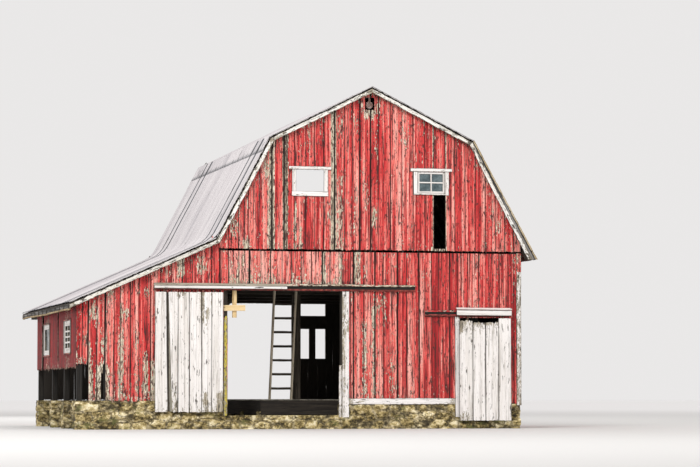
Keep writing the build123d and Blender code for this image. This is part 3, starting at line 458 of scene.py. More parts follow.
def slopePlank(rng, i, depths, y, drift=0.0, **look):
    # a plank in the roof's i-th stretch, mitred at both ends, its far end sunk by drift
    outer = np.stack([below(depths[0])[i], below(depths[0] + drift)[i + 1]])
    inner = np.stack([below(depths[1])[i], below(depths[1] + drift)[i + 1]])
    ends = (outer + inner) / 2
    run = unit(ends[1] - ends[0])
    wide = depths[1] - depths[0]
    slant = tuple((inner[k] - outer[k]) @ run / wide for k in (0, 1))
    along = np.array((run[0], 0, run[1]))
    start = place(ends[0][0], max(y), ends[0][1])
    size = (np.linalg.norm(ends[1] - ends[0]), wide, abs(y[1] - y[0]))
    return plank(rng, start, along, np.cross(along, front), size, slant=slant, **look)


def camel(node):  # a piece's name from its node's name
    first, *rest = node.split("_")
    return first + "".join(word.capitalize() for word in rest)


def assemble(name, parts, material, replaced=(), body="barn", smooth=35):
    # joins the parts' arrays into one mesh with their point attributes
    starts = np.cumsum([0] + [len(p[0]) for p in parts[:-1]])
    points = np.concatenate([p[0] for p in parts])
    faces = np.concatenate([p[1] + s for p, s in zip(parts, starts)])
    mesh = bpy.data.meshes.new(name)
    mesh.from_pydata(points.tolist(), [], faces.tolist())
    for key, k in (("grain", 2), ("facts", 3)):
        stored = mesh.attributes.new(key, "FLOAT_VECTOR", "POINT")
        stored.data.foreach_set("vector", np.concatenate([p[k] for p in parts]).astype(np.float32).ravel())
    mesh.materials.append(material)
    mesh.shade_smooth()
    mesh.set_sharp_from_angle(angle=math.radians(smooth))
    piece = bpy.data.objects.new(name, mesh)
    bpy.context.scene.collection.objects.link(piece)
    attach(piece, body)
    if replaced:
        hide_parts(*replaced)
    return piece


def clearSpans(low, high, middle, holes):  # what is left of an upright board between its ends once the holes are cut
    spans = [(low, high)]
    for x0, x1, z0, z1 in holes:
        if x0 < middle < x1:
            cut = [s for a, b in spans for s in ((a, min(b, z0)), (max(a, z1), b))]
            spans = [s for s in cut if s[1] - s[0] > boardCut["shortest"]]
    return spans


def wearFrom(patches):  # bareness that falls off softly round each box of (x0, x1, z0, z1, amount) on the front
    def wear(points):
        x, z = points[..., 0] - ridgeX, points[..., 2]
        total = np.zeros(x.shape)
        soft = boardCut["patchSoft"]
        for x0, x1, z0, z1, amount in patches:
            beside = np.maximum(np.maximum(x0 - x, x - x1), 0) / soft[0]
            beyond = np.maximum(np.maximum(z0 - z, z - z1), 0) / soft[1]
            total = np.maximum(total, amount * np.clip(1 - beside - beyond, 0, 1))
        return total
    return wear


def boardWall(rng, origin, across, edges, bottom, top, holes=(), thick=0.026, gap=0.004, rag=0.010, bare=0.0,
              endWear=(0.8, 0.2), strips=None, tints=(0.1, 0.9), fixed=None, wide=(), wear=None):
    # upright boards between the edges; a board that a hole's side runs through is split there
    c, parts = boardCut, []
    for i, (start, end) in enumerate(zip(edges, edges[1:])):
        a0 = start + (c["wideGap"] if start in wide else gap / 2)
        a1 = end - (c["wideGap"] if end in wide else gap / 2)
        tint = (fixed or {}).get(i, rng.uniform(*tints))
        rough = bare + abs(rng.normal()) * c["ownWear"]
        offset = rng.uniform(0, c["grainSpread"], 3)
        cuts = sorted({a0, a1, *[e for h in holes for e in h[:2] if a0 + c["sliver"] < e < a1 - c["sliver"]]})
        whole = len(cuts) == 2
        for c0, c1 in zip(cuts, cuts[1:]):
            middle, full = (c0 + c1) / 2, c1 - c0
            foot, head = bottom(middle), top(middle)
            grooves = () if full < c["oneGroove"] else ((0.0,) if full < c["twoGrooves"] else (-full / 6, full / 6))
            for low, high in clearSpans(foot, head, middle, holes):
                slant = ((bottom(c1) - bottom(c0)) / full if low == foot else 0.0,
                         (top(c1) - top(c0)) / full if high == head else 0.0)
                shift = np.array((low, middle - (a0 + a1) / 2, 0))
                parts.append(plank(
                    rng, origin + across * middle + up * low, up, across, (high - low, full, thick), tint=tint,
                    offset=offset + shift, bare=rough, grooves=grooves if whole else (), step=c["wallStep"],
                    rag=(rag if low == foot else c["cutRag"], 0.0), slant=slant, endWear=endWear,
                    flush=(c0 != a0, c1 != a1), strip=(strips or {}).get(i, (0.0, 0.0)) if whole else (0.0, 0.0),
                    extra=3, wear=wear))
    return parts


def battens(rng, lines, y, span):  # thin strips behind the open joints, from a foot to a head over x
    half = boardCut["battenHalf"]
    return [timber(rng, (x - half, x + half), y, span(x), up, front, step=0.6, chip=0.001, bow=0.001) for x in lines]


def boardEdges(rng, *stops):  # random board widths from stop to stop
    widths, edges = boardCut["widths"], [stops[0]]
    for end in stops[1:]:
        while edges[-1] < end - widths[1]:
            edges.append(edges[-1] + rng.uniform(*widths))
        edges.append(end)
    return edges


# Front walls. Board edges are the joints seen in the photograph, measured on the wall.
frontWalls = {
    "seed": 11, "thick": 0.028,
    "leantoEdges": [-6.60, -6.46, -6.334, -6.142, -5.963, -5.768, -5.634, -5.405, -5.223, -4.965, -4.74, -4.50, -4.26,
                    -4.04, -3.83, -3.611, -3.428, -3.235],
    "overDoorEdges": [-3.235, -3.0, -2.764, -2.505, -2.289, -2.031, -1.823, -1.596, -1.367, -1.117, -0.943, -0.67],
    "rightEdges": [-0.67, -0.471, -0.404, -0.167, 0.088, 0.278, 0.605, 0.817, 1.101, 1.395, 1.562, 1.81, 2.0, 2.24,
                   2.49, 2.73, 2.97, 3.18, 3.315, 3.46],
    "leantoFoot": 0.62, "rightFoot": 0.56, "cornerFoot": 1.42, "cornerRight": -6.33,
    "bigDoorway": (-3.25, -0.67, 0.0, 3.19), "smallDoorway": (2.05, 3.16, 0.0, 2.48),
    "notch": (-3.345, -3.25, 2.45, 3.05),
    "rottenFoot": (-6.05, -5.96, 0.62, 1.22), "rottenFootHigh": (-6.01, -5.96, 1.15, 1.42),
    "wide": (-6.334, -5.963, -3.428, -2.764, -1.117, -0.404, 0.088, 0.605, 1.101),
    "mainLeft": -3.44, "overDoorway": 3.20, "battenY": (0.0285, 0.0365), "battenFoot": 0.02,
    "battenHeads": (0.045, -0.02),
    "overDoorStrips": {9: (0.05, 0.0)}, "rightTints": {9: -0.1, 10: 0.2, 11: 0.0, 17: 0.5, 18: 0.6},
    # worn places: x from, x to, z from, z to, bareness
    "worn": [
        (-6.32, -6.13, 2.34, 2.58, 0.52), (-6.27, -6.19, 2.62, 2.68, 0.52), (-5.63, -5.46, 2.45, 2.62, 0.58),
        (-5.68, -5.57, 1.7, 2.4, 0.43), (-5.68, -5.54, 0.8, 1.65, 0.55), (-5.9, -5.8, 2.9, 3.05, 0.46),
        (-6.06, -5.93, 1.72, 2.0, 0.46), (-6.32, -6.25, 0.8, 1.9, 0.64), (-6.43, -6.34, 1.85, 2.1, 0.49),
        (-6.16, -5.88, 0.62, 1.35, 0.7), (-5.27, -5.2, 2.95, 3.1, 0.46), (-5.09, -5.0, 2.9, 3.05, 0.52),
        (-5.12, -5.02, 0.8, 1.6, 0.64), (-4.96, -4.86, 0.7, 1.4, 0.64), (-5.3, -5.22, 0.9, 2.2, 0.35),
        (-4.37, -4.23, 3.33, 3.72, 0.81), (-3.95, -3.72, 3.45, 3.75, 0.43), (-2.93, -2.89, 3.6, 3.85, 0.55),
        (-3.03, -2.99, 3.38, 3.55, 0.5), (-2.32, -2.2, 3.3, 3.9, 0.29), (-0.72, -0.66, 3.25, 3.94, 0.4),
        (-1.12, -1.05, 3.2, 3.94, 0.64), (-0.4, -0.26, 3.1, 3.94, 0.72), (-0.17, -0.1, 3.35, 3.6, 0.41),
        (0.02, 0.1, 2.2, 2.75, 0.75), (0.03, 0.09, 0.75, 2.2, 0.52), (0.12, 0.25, 2.62, 2.9, 0.58),
        (-0.2, -0.11, 0.8, 2.4, 0.49), (0.28, 0.36, 2.3, 3.0, 0.29), (0.42, 0.5, 0.8, 1.7, 0.29),
        (3.3, 3.46, 3.2, 3.9, 0.29), (1.2, 1.35, 3.1, 3.5, 0.26)],
}


def makeFrontWalls(w):
    rng = np.random.default_rng(w["seed"])
    origin, doorway = place(0, w["thick"], 0), w["bigDoorway"]
    shared = {"thick": w["thick"], "wide": w["wide"], "wear": wearFrom(w["worn"])}

    def foot(x):
        if x < w["cornerRight"]:
            return w["cornerFoot"]
        return w["leantoFoot"] if x < doorway[0] else w["rightFoot"]

    def head(x):
        return barn["frontHead"] if x > w["mainLeft"] else leantoTop(x) - barn["clear"]

    def span(x):  # of a batten
        low = w["overDoorway"] if doorway[0] < x < doorway[1] else foot(x) + w["battenFoot"]
        return low, head(x) + w["battenHeads"][x <= w["mainLeft"]]

    parts = boardWall(rng, origin, right, w["leantoEdges"], foot, head,
                      [doorway, w["notch"], w["rottenFoot"], w["rottenFootHigh"]], rag=0.016, endWear=(0.5, 0.2),
                      tints=(0.35, 1.0), **shared)
    parts += boardWall(rng, origin, right, w["overDoorEdges"], foot, head, [doorway], rag=0.016, bare=-0.24,
                       endWear=(0.6, 0.1), tints=(1.3, 2.0), strips=w["overDoorStrips"], **shared)
    parts += boardWall(rng, origin, right, w["rightEdges"], foot, head, [doorway, w["smallDoorway"]],
                       tints=(0.35, 1.2), endWear=(0.25, 0.1), fixed=w["rightTints"], **shared)
    nodes = ("leanto_front_wall", "walls_over_doors", "front_right_wall", "front_corner_wall")
    assemble("frontBoards", parts, redPaint, nodes)
    # the battens behind the wide joints are near-black: painted shade in the joints
    assemble("frontBattens", battens(rng, w["wide"], w["battenY"], span), paintedShadeWood)


gables = {
    "seed": 23, "thick": 0.027,
    "edges": [-3.46, -3.25, -3.02, -2.799, -2.556, -2.267, -1.994, -1.749, -1.50, -1.30, -1.092, -0.848, -0.615, -0.44,
              -0.265, -0.017, 0.16, 0.439, 0.704, 0.959, 1.237, 1.444, 1.706, 1.93, 2.17, 2.41, 2.64, 2.88, 3.10, 3.30,
              3.47],
    "holes": [(-1.723, -1.093, 5.265, 5.745), (1.064, 1.696, 5.265, 5.745), (1.444, 1.706, 4.02, 5.265),
              (-0.149, 0.072, 7.11, 7.39)],
    "wide": (-2.267, -1.994, -0.848, -0.265, -0.017), "peakJoint": -0.017, "peakFoot": 7.11,
    "backed": (-1.749, -1.50, -1.30, -1.092), "backedHead": 5.22,
    "battenY": (-0.0015, 0.0065), "battenFeet": (-0.045, 0.01), "battenDrop": 0.02,
    "strips": {4: (0.0, 0.05), 5: (0.05, 0.02), 6: (0.075, 0.0), 10: (0.0, 0.075), 11: (0.03, 0.0), 20: (0.0, 0.025),
               22: (0.025, 0.0)},
    "worn": [
        (-0.16, -0.03, 6.92, 7.11, 0.58), (0.0, 0.09, 6.95, 7.11, 0.52), (-0.29, -0.2, 7.08, 7.25, 0.46),
        (0.15, 0.24, 7.0, 7.3, 0.35), (-2.44, -2.34, 5.53, 5.9, 0.6), (-2.36, -2.29, 4.0, 5.5, 0.4),
        (-1.98, -1.9, 4.0, 6.5, 0.41),
        (-1.76, -1.71, 4.0, 4.95, 0.6), (-1.64, -1.58, 4.0, 4.5, 0.64), (-0.8, -0.66, 6.5, 6.87, 0.43),
        (-0.78, -0.66, 4.0, 5.6, 0.41), (-0.40, -0.34, 4.3, 5.5, 0.45), (-0.24, -0.1, 5.35, 5.95, 0.35),
        (-0.2, -0.06, 4.9, 5.3, 0.38), (0.03, 0.12, 4.5, 4.9, 0.52), (-3.2, -3.05, 4.25, 4.6, 0.52),
        (-2.93, -2.75, 3.98, 4.13, 0.52), (-1.45, -1.38, 6.2, 6.8, 0.41), (-1.2, -1.1, 6.3, 6.9, 0.32),
        (-0.4, -0.28, 6.6, 6.95, 0.35), (0.05, 0.14, 6.0, 6.6, 0.32), (2.9, 3.0, 4.4, 4.7, 0.35),
        (2.75, 2.82, 4.6, 5.0, 0.29),
        (0.7, 0.85, 6.3, 6.7, 0.26), (-1.0, -0.9, 4.7, 5.0, 0.58), (1.4, 1.72, 3.96, 4.04, 0.7)],
}


def makeFrontGable(g):
    rng = np.random.default_rng(g["seed"])
    belt, feet = barn["belt"], g["battenFeet"]
    parts = boardWall(rng, place(0, -0.002, 0), right, g["edges"], lambda x: belt,
                      lambda x: gableTop(x) - barn["clear"], g["holes"], g["thick"], rag=0.008, endWear=(0.15, 0.3),
                      strips=g["strips"], tints=(0.3, 1.2), wide=g["wide"], wear=wearFrom(g["worn"]))
    assemble("gableBoards", parts, redPaint, ("front_gable_wall",))

    def span(x):  # of a batten; the middle one ends under the hole in the peak
        return belt + feet[0], (gableTop(x) if x != g["peakJoint"] else g["peakFoot"]) - g["battenDrop"]

    strips = battens(rng, g["wide"], g["battenY"], span)
    strips += battens(rng, g["backed"], g["battenY"], lambda x: (belt + feet[1], g["backedHead"]))
    # the battens behind the gable's joints are near-black: painted shade in the joints
    assemble("gableBattens", strips, paintedShadeWood)


makeFrontWalls(frontWalls)
makeFrontGable(gables)

# Walls that the photograph doesn't show or shows edge on
otherWalls = {
    "seed": 37, "thick": 0.026, "gap": 0.0015, "rearGap": 0.0012, "foot": 0.56, "leantoFoot": 0.63, "sideFoot": 1.36,
    "rightTop": 4.087, "sideDrop": 0.11, "inset": 0.03, "leantoFrom": 3.44,
    "rearDoorway": (0.0, 2.5, 0.0, 3.05), "rearStops": (-3.46, -0.9, 0.0, 2.5, 6.38),
    "rearHoles": [(-0.4565, -0.2, 1.667, 2.414), (-0.88, -0.6235, 1.667, 2.414), (-0.88, -0.2, 2.746, 3.045)],
    "gableStops": (-3.46, 3.44), "hayDoor": (-0.9, 0.9, 4.7, 6.5), "sideEnd": 6.85,
    "sideHoles": [(0.79, 1.84, 1.68, 2.39), (4.42, 5.47, 1.68, 2.39), (5.56, 5.96, 0.0, 3.0), (2.88, 3.06, 1.50, 2.66)],
    "slotBacking": ((-6.574, -6.566), (2.84, 3.10), (1.48, 2.68)),
}


def makeOtherWalls(w):
    rng = np.random.default_rng(w["seed"])
    depth, thick, inset = barn["depth"], w["thick"], w["inset"]
    parts = boardWall(rng, place(barn["halfWidth"] - thick, 0, 0), back, boardEdges(rng, inset, depth - inset),
                      lambda y: w["foot"], lambda y: w["rightTop"], thick=thick, gap=w["gap"])
    assemble("rightWallBoards", parts, redPaint, ("right_wall",))
    sideTop = leantoTop(-barn["leantoHalf"]) - w["sideDrop"]
    holes = [(-b, -a, c, d) for a, b, c, d in w["sideHoles"]]
    # the side wall's boards get deep dark tints: painted shade of the wall under the lean-to's eave
    parts = boardWall(rng, place(-barn["leantoHalf"] + thick, 0, 0), front, boardEdges(rng, -w["sideEnd"], -inset),
                      lambda y: w["sideFoot"], lambda y: sideTop, holes, thick, w["gap"], rag=0.02, endWear=(0.5, 0.2),
                      tints=(-1.6, -0.9))
    assemble("sideWallBoards", parts, redPaint, ("leanto_side_wall",))
    # a near-black board behind the slit between the side windows: painted shade in the slit
    assemble("sideSlotBacking", [timber(rng, *w["slotBacking"], up, left)], paintedShadeWood)
    parts = boardWall(rng, place(0, depth - thick, 0), left, boardEdges(rng, *w["rearStops"]),
                      lambda x: w["foot"] if x < 0 else w["leantoFoot"],
                      lambda x: barn["rearHead"] if x < w["leantoFrom"] else leantoTop(-x) - barn["clear"],
                      [w["rearDoorway"], *w["rearHoles"]], thick, w["rearGap"])
    nodes = ("rear_left_wall", "rear_wall_over_doorway", "rear_right_wall")
    assemble("rearBoards", parts, redPaint, nodes)
    parts = boardWall(rng, place(0, depth + 0.002, 0), left, boardEdges(rng, *w["gableStops"]), lambda x: barn["belt"],
                      lambda x: gableTop(-x) - barn["clear"], [w["hayDoor"]], thick, w["rearGap"])
    assemble("rearGableBoards", parts, redPaint, ("rear_gable_wall",))


makeOtherWalls(otherWalls)
print("walls boarded")

# Roof: sheets with raised ribs over boards laid across the rafters
roof = {
    "seed": 41, "sheetWidth": 0.62, "lap": 0.045, "sheetThick": 0.0016, "seat": -0.006, "alternate": 0.003,
    "ribHeight": 0.009, "ribInset": 0.03, "ribShifts": ((-0.024, 0), (-0.009, 1), (0.009, 1), (0.024, 0)),
    "swell": 0.002,
    "shortLap": 0.34, "lapOver": 0.05, "lapRise": 0.004, "bendRadius": 0.6, "bendRun": 0.70, "leantoFrom": 0.14,
    "shadedSeams": (0, 1, 10, 11), "seamWidth": 0.056, "dirt": 0.3, "eaveDirt": 0.7,
    "boardWidth": 0.19, "boardThick": 0.024, "boardSet": 0.03, "boardGap": 0.008, "boardsPast": 0.105,
    "nodes": {2: "upper_roof_left", 3: "upper_roof_right", 4: "steep_roof_right", 1: "steep_roof_left",
              0: "leanto_roof"},
}


def sheetSection(r):  # ribs at both edges and one in the middle
    half, rib = r["sheetWidth"] / 2 + r["lap"] / 2, r["ribInset"]
    points = [(-half, 0), (-half / 2, r["swell"]), (half / 2, r["swell"]), (half, 0)]
    points += [(c + shift, rise * r["ribHeight"]) for c in (-half + rib, 0.0, half - rib)
               for shift, rise in r["ribShifts"]]
    return np.array(sorted(points)).T


def bentPath(r):  # down the steep left slope, round the bend and a little way over the lean-to
    knee, bend, eave = roofLine[2], roofLine[1], roofLine[0]
    down, over = unit(bend - knee), unit(eave - bend)
    turn = math.acos(down @ over)
    reach = r["bendRadius"] * math.tan(turn / 2)
    p0, p1 = bend - down * reach, bend + over * reach
    centre = p0 + np.array((-down[1], down[0])) * r["bendRadius"] * np.sign(np.cross(down, over))
    start, end = p0 - centre, p1 - centre
    angles = np.linspace(0, 1, 9)[:, None]
    arc = centre + (np.sin((1 - angles) * turn) * start + np.sin(angles * turn) * end) / math.sin(turn)
    flat = [knee + (p0 - knee) * s for s in np.linspace(0, 1, 8)[:-1]]
    return np.concatenate([flat, arc, [bend + over * s for s in np.linspace(reach, r["bendRun"], 4)[1:]]])


def makeRoof(r):
    rng = np.random.default_rng(r["seed"])
    marks, lift = sheetSection(r)
    wide, ends = r["sheetWidth"], (-barn["overhang"], barn["depth"] + barn["overhang"])
    centres = np.arange(ends[0] + wide / 2, ends[1], wide)
    even = (centres - centres[0]) * (ends[1] - ends[0] - wide) / (centres[-1] - centres[0])
    centres = ends[0] + wide / 2 + even
    for i, node in r["nodes"].items():
        if i == 1:
            line = bentPath(r)
        else:
            top, foot = (roofLine[i], roofLine[i + 1]) if i >= 3 else (roofLine[i + 1], roofLine[i])
            line = top + (foot - top) * np.linspace(0, 1, 4)[:, None]
        if i == 0:  # from under the bent sheets
            line = line[0] + (line[-1] - line[0]) * np.linspace(r["leantoFrom"], 1, 4)[:, None]
        path = np.stack([line[:, 0] + ridgeX, np.full(len(line), frontY), line[:, 1]], 1)
        run = np.linalg.norm(np.diff(path, axis=0), axis=1).sum()
        lengths = [(0.0, run, 0.0)]
        if i in (1, 4):  # a short row of sheets laps over the long one at the knee
            lengths = [(0.0, r["shortLap"] + r["lapOver"], r["lapRise"]), (r["shortLap"], run, 0.0)]
        parts = []
        for k, y in enumerate(centres):
            tint, high = rng.random(), r["alternate"] * (k % 2) + rng.uniform(0, 0.001)
            seams = tuple(r["seamWidth"] if s in r["shadedSeams"] and i < 2 else 0.0 for s in (k - 1, k))
            for s0, s1, rise in lengths:
                cut = path + np.array((0, y, 0))
                reach = pathReach(cut)
                stops = np.unique(np.concatenate([[s0, s1], reach[(reach > s0 + 0.01) & (reach < s1 - 0.01)]]))
                cut = np.stack([np.interp(stops, reach, cut[:, c]) for c in range(3)], 1)
                dirt = r["eaveDirt"] if i == 0 or rise else r["dirt"]
                size = (s1 - s0, wide + r["lap"], r["sheetThick"])
                parts.append(plank(rng, None, None, back if i < 3 else front, size, tint=tint, path=cut, strip=seams,
                                   section=(marks, lift + r["seat"] + high + rise), step=0.12, bow=0.0, cup=0.0,
                                   chip=0.0, rag=(0.002, 0.006 if i else 0.014), endWear=(0.1, dirt)))
        assemble(camel(node) + "Sheets", parts, roofMetal, (node,), smooth=25)
    boards, past = [], r["boardsPast"]
    for i in range(5):
        a, b = below(r["boardSet"] + r["boardThick"] / 2)[i:i + 2]
        count = int(np.linalg.norm(b - a) / r["boardWidth"])
        size = (barn["depth"] + 2 * past, np.linalg.norm(b - a) / count - r["boardGap"], r["boardThick"])
        over = unit(b - a)
        for k in range(count):
            middle = a + (b - a) * (k + 0.5) / count
            start = place(middle[0], -past, middle[1] + r["boardThick"] / 2)
            boards.append(plank(rng, start, back, (-over[0], 0, -over[1]), size, step=0.8, bow=0.002, rag=(0.01, 0.01)))
    assemble("roofBoards", boards, darkShadedWood)


makeRoof(roof)
print("roof sheeted")

# White boards along the roof's edges, the lean-to's fascia and the trim of the doors
trim = {
    "seed": 53, "thick": 0.025, "wear": 0.25,
    # depths under the roof's surface, and the y of what ends the roof in front and behind
    "rake": (0.041, 0.137), "rakeDrift": 0.06, "deckEdge": (0.016, 0.10), "deckEnds": ((-0.13, -0.108), (8.508, 8.53)),
    "sheetEdge": (-0.010, 0.026), "tanEdge": (-0.010, 0.030), "sheetEnds": ((-0.158, -0.150), (8.55, 8.558)),
    # x and z of the boards on the front, with their worn places
    "sill": ((-0.503, 1.933), (0.533, 0.679)), "jamb": ((-3.345, -3.26), (0.30, 2.45)),
    "casings": [((-0.67, -0.503), (0.258, 3.05)), ((-0.747, -0.672), (0.258, 1.41)), ((1.933, 2.05), (0.258, 2.5))],
    "bigWorn": [(-0.68, -0.61, 1.35, 2.95, 0.55), (-0.56, -0.5, 2.1, 2.4, 0.4), (-0.64, -0.6, 0.3, 1.3, 0.3)],
    "smallWorn": [(1.93, 2.05, 2.3, 2.5, 0.5)],
    "corner": 0.09, "cornerZ": (0.52, 3.52), "cornerUpperZ": (3.52, 3.94),
    # the lean-to's fascia and the near-black board behind it, painted shade under the sheets' edge
    "fascia": ((-6.765, -6.735), (-0.125, 8.45), (2.598, 2.640)),
    "fasciaBack": ((-6.753, -6.735), (-0.12, 8.52), (2.62, 2.725)),
}


def makeTrim(t):
    rng = np.random.default_rng(t["seed"])
    look = {"bare": t["wear"], "chip": 0.007, "step": 0.055, "extra": 3, "endWear": (0.5, 0.6)}
    thick, on = t["thick"], (-t["thick"], 0)
    ends = (-barn["overhang"], -barn["overhang"] + thick)
    rear = (barn["depth"] - ends[0] - thick, barn["depth"] - ends[0])
    parts = []
    for i in range(5):
        drift = t["rakeDrift"] if i == 4 else 0.0
        parts.append(slopePlank(rng, i, t["rake"], ends, drift, tint=0.6, **look))
        parts.append(slopePlank(rng, i, t["rake"], rear, drift, **look))
    assemble("rakeBoards", parts, rakePaint, ("rake_trim",))
    # near-black boards at the deck's ends: painted shade in the recess below the sheets
    parts = [slopePlank(rng, 4, t["deckEdge"], y, step=0.2, chip=0.003) for y in t["deckEnds"]]
    assemble("deckEdges", parts, eaveShadeWood)
    thin = {"step": 0.05, "edge": 0.002, "tint": 0.9}
    parts = [slopePlank(rng, i, t["sheetEdge"], y, chip=0.010, **thin) for i in range(4) for y in t["sheetEnds"]]
    assemble("sheetEdges", parts, sheetRim)
    parts = [slopePlank(rng, 4, t["tanEdge"], y, chip=0.005, **thin) for y in t["sheetEnds"]]
    assemble("rightSheetEdge", parts, tanWood)
    x, z = t["sill"]
    assemble("sillBoard", [timber(rng, x, on, z, right, front, **look)], whitePaint, ("sill_board",))
    looks = ({"bare": 0.3, "chip": 0.003, "extra": 6, "step": 0.1, "wear": wearFrom(t["bigWorn"])}, look,
             {"wear": wearFrom(t["smallWorn"]), "tint": 0.9, "chip": 0.003})
    parts = [timber(rng, x, on, z, up, front, **own) for (x, z), own in zip(t["casings"], looks)]
    assemble("doorCasings", parts, whitePaint, ("door_casings",))
    x, z = t["jamb"]
    parts = [timber(rng, x, on, z, up, front, bare=0.2, chip=0.005, step=0.06, extra=4, rag=(0.0, 0.03))]
    assemble("leftJamb", parts, olivePaint)
    half, wide = barn["halfWidth"], t["corner"]
    for name, z, paint, worn, nodes in (("cornerBoards", t["cornerZ"], whitePaint, 0.85, ("corner_trim",)),
                                        ("cornerBoardsUpper", t["cornerUpperZ"], redPaint, 0.5, ())):
        parts = [timber(rng, (half - wide, half + thick), on, z, up, front, bare=worn, chip=0.004, extra=3),
                 timber(rng, (half, half + thick), (0, wide), z, up, right, bare=worn, chip=0.003)]
        assemble(name, parts, paint, nodes)
    # near-black board above the fascia: painted shade under the roof's edge
    parts = [timber(rng, *t["fasciaBack"], back, left, chip=0.006, step=0.2, extra=2)]
    assemble("fasciaBack", parts, eaveShadeWood)
    parts = [timber(rng, *t["fascia"], back, left, chip=0.005, step=0.15, extra=3, bow=0.008, rag=(0.02, 0.02))]
    assemble("leantoFascia", parts, tanWood, ("leanto_fascia",))


makeTrim(trim)

windows = {
    "seed": 61, "y": (-0.055, -0.03), "headOut": 0.01, "trim": 0.095, "reach": 0.165, "headHeight": 0.075,
    "sillHeight": 0.113, "wornSill": 0.045, "rightDrop": 0.04, "left": (-1.723, -1.091), "right": (1.064, 1.696),
    "z": (5.265, 5.745), "stile": 0.045, "bar": 0.028, "panes": (2, 2), "sashY": (-0.03, -0.006),
}
sideWindows = {
    "places": ((0.79, (2, 4)), (4.42, (1, 1))),  # the rear one has lost its bars
    "width": 1.05, "z": (1.68, 2.39), "trim": 0.035, "x": (-6.625, -6.60), "sashX": (-6.608, -6.579), "stile": 0.11,
    "bar": 0.035,
}


def sashParts(rng, across, z, facing, panes, w, x=None, y=None):
    # stiles and rails round the sash with bars between the panes; across runs along x, or along y in a side wall
    def member(a, b, along):
        return timber(rng, x or a, y or a, b, along, facing, bare=0.12, step=0.2, edge=0.003, flush=(True, True))

    s, half, level = w["stile"], w["bar"] / 2, right if x is None else back
    inner, middle = (across[0] + s, across[1] - s), (z[0] + s, z[1] - s)
    parts = [member((across[0], inner[0]), z, up), member((inner[1], across[1]), z, up),
             member(inner, (z[0], middle[0]), level), member(inner, (middle[1], z[1]), level)]
    for k in range(1, panes[0]):
        c = inner[0] + (inner[1] - inner[0]) * k / panes[0]
        parts.append(member((c - half, c + half), middle, up))
    for k in range(1, panes[1]):
        c = middle[0] + (middle[1] - middle[0]) * k / panes[1]
        parts.append(member(inner, (c - half, c + half), level))
    return parts


def makeWindows(w, s):
    rng = np.random.default_rng(w["seed"])
    y, (z0, z1), t = w["y"], w["z"], w["trim"]
    look = {"bare": 0.34, "chip": 0.002, "extra": 2, "step": 0.1}
    parts = []
    for (x0, x1), drop in ((w["left"], 0), (w["right"], w["rightDrop"])):
        head = ((x0 - w["reach"], x1 + w["reach"]), (y[0] - w["headOut"], y[1]), (z1, z1 + w["headHeight"]))
        parts.append(timber(rng, *head, right, front, **look))
        parts.append(timber(rng, (x0 - t, x0), y, (z0, z1), up, front, **look))
        parts.append(timber(rng, (x1, x1 + t), y, (z0 - drop, z1), up, front, **look))
    x0, x1 = w["left"]
    parts.append(timber(rng, (x0 - t, x1 + t), y, (z0 - w["sillHeight"], z0), right, front, **look))
    x0, x1 = w["right"]
    parts.append(timber(rng, (x0 - t, x1), y, (z0 - w["wornSill"], z0), right, front, bare=0.5, chip=0.006, extra=4,
                        rag=(0.01, 0.01)))
    assemble("gableWindowFrames", parts, whitePaint, ("gable_window_frames",))
    parts = sashParts(rng, w["right"], w["z"], front, w["panes"], w, y=w["sashY"])
    assemble("gableSash", parts, whitePaint, ("gable_sash",))
    frames, sashes, (z0, z1), t = [], [], s["z"], s["trim"]
    for a, panes in s["places"]:
        b = a + s["width"]
        frames += [timber(rng, s["x"], (a - t, b + t), z, back, left, **look) for z in ((z1, z1 + t), (z0 - t, z0))]
        sashes += [timber(rng, s["x"], y, (z0, z1), up, left, **look) for y in ((a - t, a), (b, b + t))]
        sashes += sashParts(rng, (a, b), (z0, z1), left, panes, s, x=s["sashX"])
    assemble("sideWindowFrames", frames, redPaint, ("side_window_frames",))
    assemble("sideSashes", sashes, whitePaint, ("side_sashes",))


makeWindows(windows, sideWindows)
print("trim and windows made")

# Doors
doors = {"boardY": (-0.095, -0.067), "ledgeY": (-0.067, -0.047), "ledgeHeight": 0.14, "ledgeInset": 0.07, "gap": 0.003}
bigDoor = {
    "seed": 71, "edges": [-4.884, -4.597, -4.371, -4.119, -3.845, -3.621, -3.359], "z": (0.38, 3.0),
    "ledges": (0.63, 1.69, 2.75), "gaps": {0: 0.035}, "drops": {},
    "look": {"bare": 0.1, "extra": 5, "grooves": (0.02,), "rag": (0.006, 0.003), "endWear": (0.45, 0.25), "step": 0.1},
    "own": {0: {"splay": (0.0, 0.036)}, 1: {"splay": (0.10, 0.0)}},  # two boards spread at their feet
    "worn": [(-3.50, -3.37, 0.4, 0.75, 0.9), (-4.62, -4.4, 0.4, 1.0, 0.35), (-4.4, -4.2, 2.93, 3.0, 0.5),
             (-3.86, -3.80, 2.4, 3.0, 0.75), (-3.75, -3.68, 2.2, 2.6, 0.5), (-3.8, -3.7, 0.4, 0.8, 0.5)],
    "backing": ((-4.66, -4.47), (-0.0685, -0.062)), "batten": ((-4.592, -4.49), (-0.080, -0.0695)), "inset": 0.01,
}
smallDoor = {
    "seed": 83, "edges": [2.014, 2.327, 2.623, 2.925, 3.226], "z": (0.18, 2.47), "ledges": (0.43, 1.325, 2.22),
    "gaps": {}, "drops": {0: 0.065, 1: 0.105, 2: 0.095},
    "look": {"bare": 0.08, "extra": 8, "rag": (0.004, 0.02), "endWear": (0.3, 0.8), "step": 0.08},
    "own": {1: {"grooves": (0.03,)}, 3: {"rag": (0.004, 0.003), "endWear": (0.3, 0.2)}},
    "worn": [(2.0, 2.25, 0.2, 0.32, 0.45), (2.02, 2.10, 2.2, 2.45, 0.6)],
}


